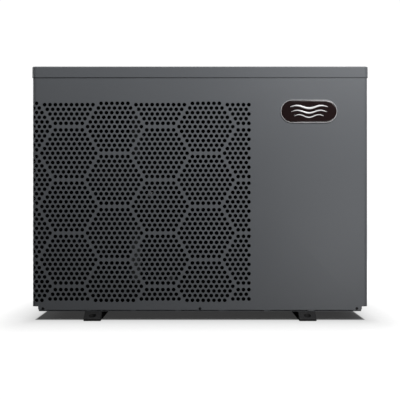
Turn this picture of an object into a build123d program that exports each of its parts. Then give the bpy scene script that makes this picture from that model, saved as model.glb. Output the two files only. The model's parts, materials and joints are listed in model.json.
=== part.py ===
"""Pool heat pump: a free-standing air-to-water unit with a sheet-metal cabinet.

Frame: millimetres, +Z up, the perforated front faces -Y, +X to the right of somebody facing the
front. The origin is on the floor, in the middle of the unit's footprint.

The left two thirds are the air side (coil, motor and fan behind the perforated sheet); the right
third is the machine side (compressor, titanium heat exchanger, valves, electrical box). Water goes
in and out through two unions at the back.
"""
from build123d import *
import os
from math import cos, pi, sin, sqrt

# ---------------------------------------------------------------- driving dimensions
SHEET = 1.2                      # cabinet sheet thickness
BODY_W = 997.6                   # cabinet width without the lid
BODY_D = 420.0                   # cabinet depth without the lid
LID_OVER = 2.0                   # lid stands proud of the cabinet on each side
LID_TOP = 753.0                  # top of the lid's rim
LID_SKIRT = 32.5                 # height of the lid's skirt
LID_FIELD = 2.0                  # height of the raised field on the lid
LID_FIELD_INSET = 45.0           # from the cabinet's sides to that field
LID_FIELD_CORNER_R = 24.0
LID_EDGE_R = 3.0
PAN_BOTTOM = 24.5                # underside of the base pan
BAND_BOTTOM = 28.5               # lower edge of the front sheet's bottom band
BAND_W = 963.6                   # width of that band
PANEL_BOTTOM = 38.9              # lower edge of the wrapped cabinet sheets
PANEL_TOP = 744.0                # upper edge of the cabinet sheets, inside the lid
BEND_R = 12.0                    # outer bend radius of the cabinet corners
SEAM_GAP = 0.6                   # visible joint between neighbouring sheets
RETURN_D = 45.0                  # how far the front sheet wraps onto each side

# perforation: hexagonal cells of round holes on a triangular lattice
HOLE_R = 5.6
PITCH = 16.0
ROW = PITCH * sqrt(3) / 2
CELL_HALF_ROWS = 5               # 11 rows per cell, 6 to 11 holes long
CELL_W = 8.5 * PITCH
CELL_H = 158.4
EVEN_COLUMN_U = 17.5             # distance along the sheet of one even cell column
EVEN_CELL_Z = 98.8               # height of a cell centre in the even columns
PERF_Z = (53.0, 648.0)
PERF_RIGHT = 151.0
EDGE_MARGIN = 3.0                # metal left between a hole and a sheet's edge

# feet
FOOT_X = 317.5
FOOT_W = 50.0
FOOT_LENGTH = 500.0
FOOT_TOP_LENGTH = 414.0
PAD_T = 3.0
ANCHOR_Y = 232.0                 # floor anchor holes in the toes
ANCHOR_R = 5.0
FOOT_BOLT_Y = 150.0

# air side
PARTITION_X = 150.0
PARTITION_Y = -20.0              # middle of the partition
PARTITION_D = 352.0
FAN_X = -150.0
FAN_Z = 372.0
FAN_Y = -112.0
FAN_R = 262.0
SHROUD_R = 275.0
SHROUD_Y = -192.0
SHROUD_T = 1.5
SHROUD_DEPTH = 112.0             # how far the bell mouth reaches back
SHAFT_R = 6.0
RUNNING = 0.05                   # radial clearance of a running fit

# coil
TUBE_R = 4.76
TUBE_WALL = 0.8
TUBE_COUNT = 26
TUBE_PITCH = 25.4
TUBE_Z0 = 52.0
COIL_T = 32.0
COIL_BEND = 70.0
COIL_REAR_Y = 178.0
COIL_LEFT_X = -455.0
COIL_END_X = 160.0
COIL_END_Y = -150.0

# machine side
COMPRESSOR = (250.0, -90.0)
COMPRESSOR_R = 65.0
ACCUMULATOR = (233.0, 30.0)
EXCHANGER = (395.0, 60.0)
EXCHANGER_R = 80.0
EXCHANGER_TOP = 470.0
VALVE = (233.0, 30.0, 470.0)
GAS_PIPE_R = 6.35
LIQUID_PIPE_R = 4.76
PIPE_WALL = 1.0
BOX_X = (151.2, 440.0)
BOX_Y = (-192.0, 150.0)
BOX_Z = (560.0, 738.0)

# water unions
UNION_X = 395.0
UNION_Z = {"inlet": 130.0, "outlet": 430.0}
SOCKET_R = 25.1                  # takes a 50 mm pressure pipe
UNION_END_Y = 250.0

# display, on the right side
DISPLAY_Y = -60.0
DISPLAY_Z = 600.0
POCKET_W = 134.0
POCKET_H = 104.0
POCKET_DEPTH = 24.0
POCKET_CORNER_R = 2.5
CUTOUT_CORNER_R = 8.0            # corner of the side sheet's cutout
KEY_R = 5.0

# badge
BADGE_X = 324.1
BADGE_Z = 619.5
BADGE_W = 167.5
BADGE_H = 68.0

HALF_W = BODY_W / 2
HALF_D = BODY_D / 2
FLAT_X = HALF_W - BEND_R         # the front sheet is flat between -FLAT_X and +FLAT_X
BEND_LENGTH = BEND_R * pi / 2
SEAM_Y = -HALF_D + RETURN_D
PANEL_H = PANEL_TOP - PANEL_BOTTOM
PANEL_MID_Z = (PANEL_TOP + PANEL_BOTTOM) / 2
LID_BOTTOM = LID_TOP - LID_SKIRT
PAN_FLOOR = PAN_BOTTOM + SHEET
PAN_HALF_X = BAND_W / 2 - 1.0
PAN_HALF_Y = HALF_D - SHEET - 0.1
PAN_FLANGE_TOP = 50.0            # stays below the lowest row of holes

# perforation, derived
SEAM_U = -FLAT_X - BEND_LENGTH - (RETURN_D - BEND_R)     # the left seam, unrolled
HOLE_KEEP = HOLE_R + EDGE_MARGIN

# side sheets, screws and holes
SIDE_FROM_Y = SEAM_Y + SEAM_GAP
SIDE_TO_Y = HALF_D - BEND_R
REAR_RETURN = 22.0               # width of the side sheets' return across the back
LIP = 15.0                       # bottom lip, turned in over the base pan
FRONT_SCREW_X = (-467.0, 0.0, 467.0)
FRONT_SCREW_Z = 33.0
BAND_CORNER_R = 4.0
BAND_OVERLAP = 4.0               # the band runs this far up into the panel
SCREW_HOLE_R = 2.1
LID_SCREW_Y = (-130.0, 130.0)
LID_SCREW_X = (-330.0, 0.0, 330.0)
LID_SCREW_Z = 732.0
SIDE_SCREW_Z = (120.0, 400.0, 690.0)
RETURN_SCREW_X = HALF_W - BEND_R - 12.0

# base pan and feet details
SLOT_PITCH = 132.5
SLOT_W = 114.5
SLOT_H = 2.6
SLOT_Z = 27.1
SLOT_COUNT = 7
PAN_CORNER_R = 6.0
RIB_X = (-400.0, -290.0, -65.0, 65.0)
RIB_Y = -20.0
RIB_LENGTH = 220.0
RIB_W = 18.0
RIB_H = 4.0
DRAIN = (-20.0, 120.0)
DRAIN_R = 9.0
DRAIN_SPIGOT_R = 6.7
FOOT_BOLT_R = 4.0
BOLT_RECESS_Z = 12.0
BOLT_RECESS_R = 9.0
BOLT_HEX_R = 7.0
TOE_H = 4.0                      # upright face at the tip of each toe
TOE_FACE_T = 3.0                 # plastic left under an anchor's washer
ANCHOR_WASHER_R = ANCHOR_R + 5.5

# back of the cabinet
SERVICE_X = (PARTITION_X + 12.0, FLAT_X - REAR_RETURN - SEAM_GAP)
SERVICE_SCREW_Z = (90.0, 380.0, 700.0)
GLAND_X = (220.0, 262.0)
GLAND_Z = 640.0
GLAND_R = 11.0
GLAND_BORE_R = 5.0
UNION_HOLE_R = 33.0
SERVICE_SCREW_INSET = 8.0
LOUVRE_Z = 560.0
LOUVRE_COUNT = 6
LOUVRE_PITCH = 14.0
GUARD_X = (-FLAT_X + REAR_RETURN + SEAM_GAP, PARTITION_X + 11.0)
GUARD_Z = (64.0, 716.0)
GUARD_T = 2.6
GUARD_SET_BACK = 1.5             # from the cabinet's back plane
GUARD_COLUMNS = 32
GUARD_ROWS = 12
GUARD_BORDER = 8.0
GUARD_BAR_X = 2.6
GUARD_BAR_Z = 3.2
RAIL_OVERLAP = 10.0              # height of the rails behind the guard's edges

# heat sink of the electrical box
SINK_Y, SINK_Z = -60.0, 650.0
SINK_W, SINK_H = 140.0, 120.0

# fan and motor details
BLADES = 5
HUB_R = 62.0
HUB_DEPTH = 72.0
BLADE_STATIONS = ((50, 110, 38, 7), (150, 165, 29, 5), (266, 205, 21, 3.5))
SHAFT_TIP_Y = FAN_Y - HUB_DEPTH / 2 - 12
MOTOR_Y = (-58.0, 30.0)
MOTOR_R = 68.0
MOTOR_NOSE = 10.0                # length of the motor's stepped nose
MOTOR_BORE_DEPTH = 13.0          # metal left behind the shaft
HUB_EDGE_R = 10.0
NUT_ACROSS_R = 10.0
NUT_T = 8.0
BRACKET_SPREAD = 55.0            # from the fan's axis to each upright channel

# coil details
FIN_Z = (TUBE_Z0 - TUBE_PITCH / 2, TUBE_Z0 + TUBE_PITCH * (TUBE_COUNT - 0.5))
TUBE_OUT = 6.0                   # straight tube beyond the fins, before the return bend

# compressor, pipes and exchanger details
GROMMET_TOP = 44.0
FOOT_CIRCLE_R = 82.0
FOOT_PLATE_T = 3.0
CAN_H = 282.0
CAN_DOME_R = 30.0
PORT_R = 9.0
COMPRESSOR_TOP = GROMMET_TOP + 294.0
VALVE_PORT_DROP = 24.0
VALVE_PORT_X = 35.0              # spacing of the reversing valve's lower ports
HEADER = (VALVE[0] - VALVE_PORT_X, COIL_REAR_Y)
HEADER_Z = (90.0, 540.0)
DRIER = (395.0, -130.0)
STUB_R = 31.0
STUB_END_Y = 222.0
SHELL_WALL = 6.0
UNION_NUT_R = 38.0
UNION_NUT_Y = 3.0                # from the cabinet's back to the nut
UNION_NUT_LENGTH = 24.0
TAIL_R = 29.0
TAIL_FLANGE_R = 30.7
CAP_T = 14.0
TITANIUM_PITCH = 28.0
TITANIUM_Z = (90.0, 398.0)

# electrical box details
BOARD_X = BOX_X[0] + 12.0

# display details
POCKET_FLOOR_X = HALF_W - POCKET_DEPTH
HINGE_R = 1.6
HINGE_X = HALF_W - 2.6
HINGE_Z = DISPLAY_Z + POCKET_H / 2 - 4.4
KEY_Y = (-27.0, -9.0, 9.0, 27.0)
KEY_Z = DISPLAY_Z - 28.0
COVER_T = 2.4
COVER_W = POCKET_W - 3.0

# badge details
RIM_W = 1.4

os.makedirs("parts", exist_ok=True)


def save(piece, name):
    """Label a finished piece and write it out."""
    piece.part.label = name
    export_step(piece.part, f"parts/{name}.step")


def at(x, y, z, z_dir, x_dir=None):
    """Plane at a point, facing z_dir."""
    return Plane(origin=(x, y, z), z_dir=z_dir, x_dir=x_dir)


def pipe(points, bend_r, outer_r, wall=PIPE_WALL):
    """Hollow pipe along straight runs joined by tangent bends."""
    with BuildPart() as run:
        with BuildLine() as route:
            if len(points) > 2:
                FilletPolyline(*points, radius=bend_r)
            else:
                Line(*points)
        with BuildSketch(Plane(origin=route.line @ 0, z_dir=route.line % 0)):
            Circle(outer_r)
            Circle(outer_r - wall, mode=Mode.SUBTRACT)
        sweep(path=route.line)
    return run.part


# ---------------------------------------------------------------- perforation
def hole_centres(u_from, u_to):
    """Hole centres (u, z) with u between two limits; u runs along the unrolled outer surface."""
    centres = []
    for column in range(-7, 3):
        cell_u = EVEN_COLUMN_U + column * CELL_W
        first_z = EVEN_CELL_Z - (CELL_H / 2 if column % 2 else 0)
        for cell_z in (first_z + step * CELL_H for step in range(-1, 6)):
            for row in range(-CELL_HALF_ROWS, CELL_HALF_ROWS + 1):
                count = 2 * CELL_HALF_ROWS + 1 - abs(row)
                for k in range(count):
                    u = cell_u + (k - (count - 1) / 2) * PITCH
                    z = cell_z + row * ROW
                    if u_from <= u <= min(u_to, PERF_RIGHT) and PERF_Z[0] <= z <= PERF_Z[1]:
                        centres.append((u, z))
    return centres


def side_y(u):
    """Depth of a point of the left side, from its distance along the unrolled sheet."""
    return -HALF_D + BEND_R + (-FLAT_X - BEND_LENGTH - u)


# ---------------------------------------------------------------- cabinet
def bend_strip(corner_x, corner_y, x_dir, height_from, height_to):
    """Quarter-round corner strip; its flat neighbours start at its two ends."""
    with BuildPart() as strip:
        with BuildSketch(Plane.XY.offset(height_from)):
            with Locations((corner_x, corner_y)):
                Circle(BEND_R)
                Circle(BEND_R - SHEET, mode=Mode.SUBTRACT)
            with Locations((corner_x + x_dir[0] * BEND_R / 2, corner_y + x_dir[1] * BEND_R / 2)):
                Rectangle(BEND_R, BEND_R, mode=Mode.INTERSECT)
        extrude(amount=height_to - height_from)
    return strip


def front_panel():
    """Front sheet: perforated left part, plain right part, wrapped round both corners."""
    with BuildPart() as left_bend:
        add(bend_strip(-FLAT_X, -HALF_D + BEND_R, (-1, -1), PANEL_BOTTOM, PANEL_TOP).part)
        on_bend = hole_centres(-FLAT_X - BEND_LENGTH - HOLE_R, -FLAT_X + HOLE_R)
        planes = []
        for u, z in on_bend:
            turn = min(max((-FLAT_X - u) / BEND_R, 0.0), pi / 2)
            slide = (-FLAT_X - u) - turn * BEND_R
            out = (-sin(turn), -cos(turn), 0)
            along = (-cos(turn), sin(turn), 0)
            x = -FLAT_X + along[0] * slide
            y = -HALF_D + BEND_R + along[1] * slide
            planes.append(at(x, y, z, out))
        with Locations(*planes):
            Cylinder(HOLE_R, BEND_R + 4, align=(Align.CENTER, Align.CENTER, Align.MIN),
                     mode=Mode.SUBTRACT)
    with BuildPart() as panel:
        with BuildSketch(Plane.XZ.offset(HALF_D)):
            with Locations((0, PANEL_MID_Z)):
                Rectangle(2 * FLAT_X, PANEL_H)
            with Locations((0, (BAND_BOTTOM + PANEL_BOTTOM + BAND_OVERLAP) / 2)):
                RectangleRounded(BAND_W, PANEL_BOTTOM - BAND_BOTTOM + BAND_OVERLAP, BAND_CORNER_R)
            with Locations(*hole_centres(-FLAT_X + HOLE_R, PERF_RIGHT)):
                Circle(HOLE_R, mode=Mode.SUBTRACT)
            with Locations(*[(x, FRONT_SCREW_Z) for x in FRONT_SCREW_X]):
                Circle(SCREW_HOLE_R, mode=Mode.SUBTRACT)
        extrude(amount=-SHEET, clean=False)
        with BuildSketch(Plane.YZ.offset(-HALF_W)):
            with Locations(((SEAM_Y - HALF_D + BEND_R) / 2, PANEL_MID_Z)):
                Rectangle(RETURN_D - BEND_R, PANEL_H)
            returned = hole_centres(SEAM_U + HOLE_KEEP, -FLAT_X - BEND_LENGTH - HOLE_R)
            with Locations(*[(side_y(u), z) for u, z in returned]):
                Circle(HOLE_R, mode=Mode.SUBTRACT)
        extrude(amount=SHEET, clean=False)
        add(left_bend.part, clean=False)
        add(bend_strip(FLAT_X, -HALF_D + BEND_R, (1, -1), PANEL_BOTTOM, PANEL_TOP).part, clean=False)
        with BuildSketch(Plane.YZ.offset(HALF_W)):
            with Locations(((SEAM_Y - HALF_D + BEND_R) / 2, PANEL_MID_Z)):
                Rectangle(RETURN_D - BEND_R, PANEL_H)
        extrude(amount=-SHEET, clean=False)
    return panel


def side_panel(side):
    """Side sheet from the front seam round the rear corner; side is -1 (left) or +1 (right)."""
    mid_y = (SIDE_FROM_Y + SIDE_TO_Y) / 2
    with BuildPart() as panel:
        with BuildSketch(Plane.YZ.offset(side * HALF_W)):
            with Locations((mid_y, PANEL_MID_Z)):
                Rectangle(SIDE_TO_Y - SIDE_FROM_Y, PANEL_H)
            if side < 0:
                last_u = -FLAT_X - BEND_LENGTH - (SIDE_TO_Y + HALF_D - BEND_R) + HOLE_KEEP
                centres = hole_centres(last_u, SEAM_U - SEAM_GAP - HOLE_KEEP)
                with Locations(*[(side_y(u), z) for u, z in centres]):
                    Circle(HOLE_R, mode=Mode.SUBTRACT)
            else:
                with Locations((DISPLAY_Y, DISPLAY_Z)):
                    RectangleRounded(POCKET_W + 4, POCKET_H + 4, CUTOUT_CORNER_R, mode=Mode.SUBTRACT)
            with Locations(*[(y, LID_SCREW_Z) for y in LID_SCREW_Y]):
                Circle(SCREW_HOLE_R, mode=Mode.SUBTRACT)
        extrude(amount=-side * SHEET, clean=False)
        add(bend_strip(side * FLAT_X, SIDE_TO_Y, (side, 1), PANEL_BOTTOM, PANEL_TOP).part, clean=False)
        with BuildSketch(Plane.XZ.offset(-HALF_D)):
            with Locations((side * (FLAT_X - REAR_RETURN / 2), PANEL_MID_Z)):
                Rectangle(REAR_RETURN, PANEL_H)
            with Locations(*[(side * RETURN_SCREW_X, z) for z in SIDE_SCREW_Z]):
                Circle(SCREW_HOLE_R, mode=Mode.SUBTRACT)
        extrude(amount=SHEET, clean=False)
        with BuildSketch(Plane.XY.offset(PANEL_BOTTOM)):
            with Locations((side * (HALF_W - SHEET - LIP / 2), mid_y)):
                Rectangle(LIP, SIDE_TO_Y - SIDE_FROM_Y - 20)
        extrude(amount=SHEET, clean=False)
    return panel


def lid_block(inset):
    """Solid form of the lid, drawn in by a sheet thickness for its inside."""
    with BuildPart() as block:
        with BuildSketch(Plane.XY.offset(LID_BOTTOM)):
            RectangleRounded(BODY_W + 2 * (LID_OVER - inset), BODY_D + 2 * (LID_OVER - inset),
                             BEND_R + LID_OVER - inset)
        extrude(amount=LID_SKIRT - inset)
        fillet(block.faces().sort_by(Axis.Z)[-1].edges(), LID_EDGE_R - inset)
        with BuildSketch(Plane.XY.offset(LID_TOP - inset)):
            RectangleRounded(BODY_W - 2 * (LID_FIELD_INSET + inset), BODY_D - 2 * (LID_FIELD_INSET + inset),
                             LID_FIELD_CORNER_R - inset)
        extrude(amount=LID_FIELD, taper=25)
    return block


def top_cover():
    """Lid: a pressed sheet with a skirt and a raised field."""
    with BuildPart() as lid:
        add(lid_block(0.0).part)
        add(lid_block(SHEET).part, mode=Mode.SUBTRACT)
        for side in (-1, 1):
            with Locations(*[at(side * HALF_W, y, LID_SCREW_Z, (side, 0, 0)) for y in LID_SCREW_Y]):
                Cylinder(SCREW_HOLE_R, 12, mode=Mode.SUBTRACT)
        with Locations(*[at(x, HALF_D, LID_SCREW_Z, (0, 1, 0)) for x in LID_SCREW_X]):
            Cylinder(SCREW_HOLE_R, 12, mode=Mode.SUBTRACT)
    return lid


def base_pan():
    """Tray that carries everything: drain slots along its front and back, pressed stiffening ribs."""
    with BuildPart() as pan:
        with BuildSketch(Plane.XY.offset(PAN_BOTTOM)):
            RectangleRounded(2 * PAN_HALF_X, 2 * PAN_HALF_Y, PAN_CORNER_R)
        extrude(amount=PAN_FLANGE_TOP - PAN_BOTTOM)
        with BuildSketch(Plane.XY.offset(PAN_FLOOR)):
            RectangleRounded(2 * (PAN_HALF_X - SHEET), 2 * (PAN_HALF_Y - SHEET), PAN_CORNER_R - SHEET)
        extrude(amount=PAN_FLANGE_TOP, mode=Mode.SUBTRACT)
        with Locations((0, -PAN_HALF_Y, SLOT_Z), (0, PAN_HALF_Y, SLOT_Z)):
            with GridLocations(SLOT_PITCH, 1, SLOT_COUNT, 1):
                Box(SLOT_W, 2 * SHEET + 0.8, SLOT_H, mode=Mode.SUBTRACT)
        with Locations(*[at(x, -PAN_HALF_Y, FRONT_SCREW_Z, (0, -1, 0)) for x in FRONT_SCREW_X]):
            Cylinder(SCREW_HOLE_R, 8, mode=Mode.SUBTRACT)
        with BuildSketch(Plane.XY.offset(PAN_FLOOR)):
            for x in RIB_X:
                with Locations((x, RIB_Y)):
                    SlotOverall(RIB_LENGTH, RIB_W, rotation=90)
        extrude(amount=RIB_H, taper=30)
        with Locations((DRAIN[0], DRAIN[1], PAN_BOTTOM)):
            Cylinder(DRAIN_R - 2, 20, mode=Mode.SUBTRACT)
        with Locations(*[(sx * FOOT_X, sy * FOOT_BOLT_Y, PAN_BOTTOM) for sx in (-1, 1) for sy in (-1, 1)]):
            Cylinder(FOOT_BOLT_R + 0.3, 10, mode=Mode.SUBTRACT)
    return pan


def foot(side):
    """Rail from front to back with sloped toes, drilled for floor anchors and frame bolts."""
    with BuildPart() as rail:
        with BuildSketch(Plane.YZ.offset(side * FOOT_X - FOOT_W / 2)):
            with BuildLine():
                Polyline((-FOOT_LENGTH / 2, PAD_T), (FOOT_LENGTH / 2, PAD_T),
                         (FOOT_LENGTH / 2, PAD_T + TOE_H), (FOOT_TOP_LENGTH / 2, PAN_BOTTOM),
                         (-FOOT_TOP_LENGTH / 2, PAN_BOTTOM), (-FOOT_LENGTH / 2, PAD_T + TOE_H), close=True)
            make_face()
        extrude(amount=FOOT_W)
        fillet(rail.edges().filter_by(Axis.X).group_by(Axis.Z)[1:], 2.0)
        for toe in (-1, 1):
            with Locations((side * FOOT_X, toe * ANCHOR_Y, 0)):
                Cylinder(ANCHOR_R, 60, mode=Mode.SUBTRACT)
            with Locations((side * FOOT_X, toe * ANCHOR_Y, PAD_T + TOE_FACE_T)):
                Cylinder(ANCHOR_WASHER_R, 30, align=(Align.CENTER, Align.CENTER, Align.MIN),
                         mode=Mode.SUBTRACT)
            with Locations((side * FOOT_X, toe * FOOT_BOLT_Y, 0)):
                Cylinder(FOOT_BOLT_R + 0.3, 60, mode=Mode.SUBTRACT)
                Cylinder(BOLT_RECESS_R, 2 * BOLT_RECESS_Z, mode=Mode.SUBTRACT)
    return rail


def foot_pads():
    """Rubber soles under the two rails."""
    with BuildPart() as pads:
        with BuildSketch(Plane.XY):
            with Locations((-FOOT_X, 0), (FOOT_X, 0)):
                RectangleRounded(FOOT_W, FOOT_LENGTH, 3)
            with GridLocations(2 * FOOT_X, 2 * ANCHOR_Y, 2, 2):
                Circle(ANCHOR_R, mode=Mode.SUBTRACT)
        extrude(amount=PAD_T)
    return pads


def foot_bolts():
    """Hex bolts and nuts that hold the pan on the rails."""
    with BuildPart() as bolts:
        for sx in (-1, 1):
            for sy in (-1, 1):
                with BuildSketch(Plane.XY.offset(BOLT_RECESS_Z - 5)):
                    with Locations((sx * FOOT_X, sy * FOOT_BOLT_Y)):
                        RegularPolygon(BOLT_HEX_R, 6)
                extrude(amount=5)
                with BuildSketch(Plane.XY.offset(BOLT_RECESS_Z)):
                    with Locations((sx * FOOT_X, sy * FOOT_BOLT_Y)):
                        Circle(FOOT_BOLT_R)
                extrude(amount=24)
                with BuildSketch(Plane.XY.offset(PAN_FLOOR)):
                    with Locations((sx * FOOT_X, sy * FOOT_BOLT_Y)):
                        RegularPolygon(BOLT_HEX_R, 6)
                extrude(amount=6)
    return bolts


def screws(planes, head_r=4.0, head_h=1.8, length=9.0):
    """Pan-head screws standing on the given planes, which face outwards."""
    with BuildPart() as group:
        for plane in planes:
            with BuildSketch(plane):
                Circle(head_r)
            extrude(amount=head_h, taper=15)
            with BuildSketch(plane):
                Circle(SCREW_HOLE_R - 0.2)
            extrude(amount=-length)
    return group


def rear_service_panel():
    """Right part of the back, with holes for the unions and the cable glands."""
    mid_x = sum(SERVICE_X) / 2
    with BuildPart() as panel:
        with BuildSketch(Plane.XZ.offset(-HALF_D)):
            with Locations((mid_x, PANEL_MID_Z)):
                Rectangle(SERVICE_X[1] - SERVICE_X[0], PANEL_H)
            with Locations(*[(UNION_X, z) for z in UNION_Z.values()]):
                Circle(UNION_HOLE_R, mode=Mode.SUBTRACT)
            with Locations(*[(x, GLAND_Z) for x in GLAND_X]):
                Circle(GLAND_R, mode=Mode.SUBTRACT)
            with Locations(*[(SERVICE_X[0] + SERVICE_SCREW_INSET, z) for z in SERVICE_SCREW_Z]):
                Circle(SCREW_HOLE_R, mode=Mode.SUBTRACT)
            with Locations((LID_SCREW_X[2], LID_SCREW_Z)):
                Circle(SCREW_HOLE_R, mode=Mode.SUBTRACT)
            with Locations((SERVICE_X[1] - 40, LOUVRE_Z)):
                with GridLocations(1, LOUVRE_PITCH, 1, LOUVRE_COUNT):
                    SlotOverall(60, 5, mode=Mode.SUBTRACT)
        extrude(amount=SHEET)
    return panel


def rear_coil_guard():
    """Coated grid over the coil's rear face."""
    width = GUARD_X[1] - GUARD_X[0]
    height = GUARD_Z[1] - GUARD_Z[0]
    pitch_x = (width - GUARD_BORDER) / GUARD_COLUMNS
    pitch_z = (height - GUARD_BORDER) / GUARD_ROWS
    with BuildPart() as guard:
        with BuildSketch(Plane.XZ.offset(-HALF_D + GUARD_SET_BACK)):
            with Locations((sum(GUARD_X) / 2, sum(GUARD_Z) / 2)):
                RectangleRounded(width, height, 4)
                with GridLocations(pitch_x, pitch_z, GUARD_COLUMNS, GUARD_ROWS):
                    Rectangle(pitch_x - GUARD_BAR_X, pitch_z - GUARD_BAR_Z, mode=Mode.SUBTRACT)
        extrude(amount=GUARD_T, clean=False)
    return guard


def rear_frame():
    """Upper and lower rails across the back, between which the coil guard sits."""
    mid_x = sum(GUARD_X) / 2
    width = GUARD_X[1] - GUARD_X[0]
    with BuildPart() as frame:
        for z_from, z_to in ((PAN_FLANGE_TOP + 0.5, GUARD_Z[0] + RAIL_OVERLAP),
                             (GUARD_Z[1] - RAIL_OVERLAP, PANEL_TOP)):
            with BuildSketch(Plane.XZ.offset(-HALF_D + GUARD_SET_BACK + GUARD_T)):
                with Locations((mid_x, (z_from + z_to) / 2)):
                    Rectangle(width, z_to - z_from)
                with Locations(*[(x, LID_SCREW_Z) for x in LID_SCREW_X[:2]]):
                    Circle(SCREW_HOLE_R, mode=Mode.SUBTRACT)
            extrude(amount=SHEET)
    return frame


# ---------------------------------------------------------------- air side
def partition():
    """Wall between the air side and the machine side, with a window for the heat sink."""
    with BuildPart() as wall:
        with BuildSketch(Plane.YZ.offset(PARTITION_X)):
            with Locations((PARTITION_Y, (PAN_FLOOR + PANEL_TOP) / 2)):
                Rectangle(PARTITION_D, PANEL_TOP - PAN_FLOOR - 0.2)
            with Locations((SINK_Y, SINK_Z)):
                Rectangle(SINK_W + 4, SINK_H + 4, mode=Mode.SUBTRACT)
        extrude(amount=SHEET)
    return wall


def fan_shroud():
    """Plate behind the perforated front with a bell mouth round the fan; its corner clears the pan's flange."""
    x_from, x_to = -HALF_W + SHEET + 0.4, PARTITION_X - 1
    corner_x = -PAN_HALF_X + SHEET + 0.3
    corner_z = PAN_FLANGE_TOP + 0.5
    with BuildPart() as shroud:
        with BuildSketch(Plane.XZ.offset(-SHROUD_Y)):
            with Locations(((x_from + x_to) / 2, (PAN_FLOOR + PANEL_TOP) / 2)):
                Rectangle(x_to - x_from, PANEL_TOP - PAN_FLOOR - 0.4)
            with Locations(((x_from + corner_x) / 2, (PAN_FLOOR + corner_z) / 2)):
                Rectangle(corner_x - x_from, corner_z - PAN_FLOOR, mode=Mode.SUBTRACT)
            with Locations((FAN_X, FAN_Z)):
                Circle(SHROUD_R, mode=Mode.SUBTRACT)
        extrude(amount=-SHROUD_T)
        with BuildSketch(Plane.XZ.offset(-SHROUD_Y)):
            with Locations((FAN_X, FAN_Z)):
                Circle(SHROUD_R + SHROUD_T)
                Circle(SHROUD_R, mode=Mode.SUBTRACT)
        extrude(amount=-SHROUD_DEPTH)
    return shroud


def fan_rotor():
    """Moulded axial fan: five twisted blades on a hub, bored for the motor shaft."""
    with BuildPart() as blade:
        for radius, chord, pitch, thick in BLADE_STATIONS:
            with BuildSketch(Plane.YZ.offset(radius)):
                Rectangle(chord, thick, rotation=pitch)
        loft()
    with BuildPart() as hub:
        Cylinder(HUB_R, HUB_DEPTH)
        fillet(hub.faces().sort_by(Axis.Z)[-1].edges(), HUB_EDGE_R)
    with BuildPart() as rotor:
        with PolarLocations(0, BLADES):
            add(blade.part)
        Cylinder(FAN_R, 400, mode=Mode.INTERSECT)
        add(hub.part)
        Cylinder(SHAFT_R, 200, mode=Mode.SUBTRACT)
    with BuildPart() as placed:
        with Locations(at(FAN_X, FAN_Y, FAN_Z, (0, -1, 0), (1, 0, 0))):
            add(rotor.part)
    return placed


def motor_shaft():
    """Steel shaft from inside the motor through the rotor's hub."""
    with BuildPart() as shaft:
        with BuildSketch(at(FAN_X, MOTOR_Y[1] - MOTOR_BORE_DEPTH - 1, FAN_Z, (0, -1, 0))):
            Circle(SHAFT_R)
        extrude(amount=MOTOR_Y[1] - MOTOR_BORE_DEPTH - 1 - SHAFT_TIP_Y)
        chamfer(shaft.faces().sort_by(Axis.Y)[0].edges(), 1)
    return shaft


def fan_nut():
    """Dome-sided lock nut in front of the hub."""
    with BuildPart() as nut:
        with BuildSketch(at(FAN_X, FAN_Y - HUB_DEPTH / 2, FAN_Z, (0, -1, 0))):
            RegularPolygon(NUT_ACROSS_R, 6)
            Circle(SHAFT_R, mode=Mode.SUBTRACT)
        extrude(amount=NUT_T)
    return nut


def fan_motor():
    """Motor can with ribs, bored for the shaft with a running clearance."""
    with BuildPart() as motor:
        with BuildSketch(at(FAN_X, MOTOR_Y[1], FAN_Z, (0, -1, 0))):
            Circle(MOTOR_R)
            with PolarLocations(MOTOR_R, 18):
                Rectangle(6, 4)
        extrude(amount=MOTOR_Y[1] - MOTOR_Y[0] - MOTOR_NOSE)
        with BuildSketch(at(FAN_X, MOTOR_Y[0] + MOTOR_NOSE, FAN_Z, (0, -1, 0))):
            Circle(MOTOR_R - 16)
        extrude(amount=MOTOR_NOSE, taper=20)
        with BuildSketch(at(FAN_X, MOTOR_Y[1] - MOTOR_BORE_DEPTH, FAN_Z, (0, -1, 0))):
            Circle(SHAFT_R + RUNNING)
        extrude(amount=200, mode=Mode.SUBTRACT)
    return motor


def motor_bracket():
    """Two upright channels on the base pan with a plate that carries the motor."""
    with BuildPart() as bracket:
        for side in (-1, 1):
            with BuildSketch(Plane.XY.offset(PAN_FLOOR)):
                with Locations((FAN_X + side * BRACKET_SPREAD, MOTOR_Y[1] + 13)):
                    Rectangle(30, 20)
                with Locations((FAN_X + side * BRACKET_SPREAD, MOTOR_Y[1] + 15)):
                    Rectangle(26, 20, mode=Mode.SUBTRACT)
            extrude(amount=PANEL_TOP - PAN_FLOOR - 0.4)
        with BuildSketch(at(FAN_X, MOTOR_Y[1], FAN_Z, (0, 1, 0))):
            Rectangle(150, 150)
        extrude(amount=3)
    return bracket


def coil_run(profile):
    """Carry a cross-section along the coil's L: rear leg, bend, left leg.

    The profile is drawn in (across, z), across being measured from the coil's mid surface.
    """
    bend_x = COIL_LEFT_X + COIL_BEND
    bend_y = COIL_REAR_Y - COIL_BEND
    with BuildPart() as run:
        with BuildSketch(at(bend_x, COIL_REAR_Y, 0, (1, 0, 0), (0, 1, 0))):
            profile()
        extrude(amount=COIL_END_X - bend_x, clean=False)
        with BuildSketch(at(bend_x, COIL_REAR_Y, 0, (1, 0, 0), (0, 1, 0))):
            profile()
        revolve(axis=Axis((bend_x, bend_y, 0), (0, 0, 1)), revolution_arc=90, clean=False)
        with BuildSketch(at(COIL_LEFT_X, bend_y, 0, (0, -1, 0), (1, 0, 0))):
            profile()
        extrude(amount=bend_y - COIL_END_Y, clean=False)
    return run


def tube_heights():
    """Heights of the coil's tubes."""
    return [TUBE_Z0 + TUBE_PITCH * k for k in range(TUBE_COUNT)]


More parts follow.
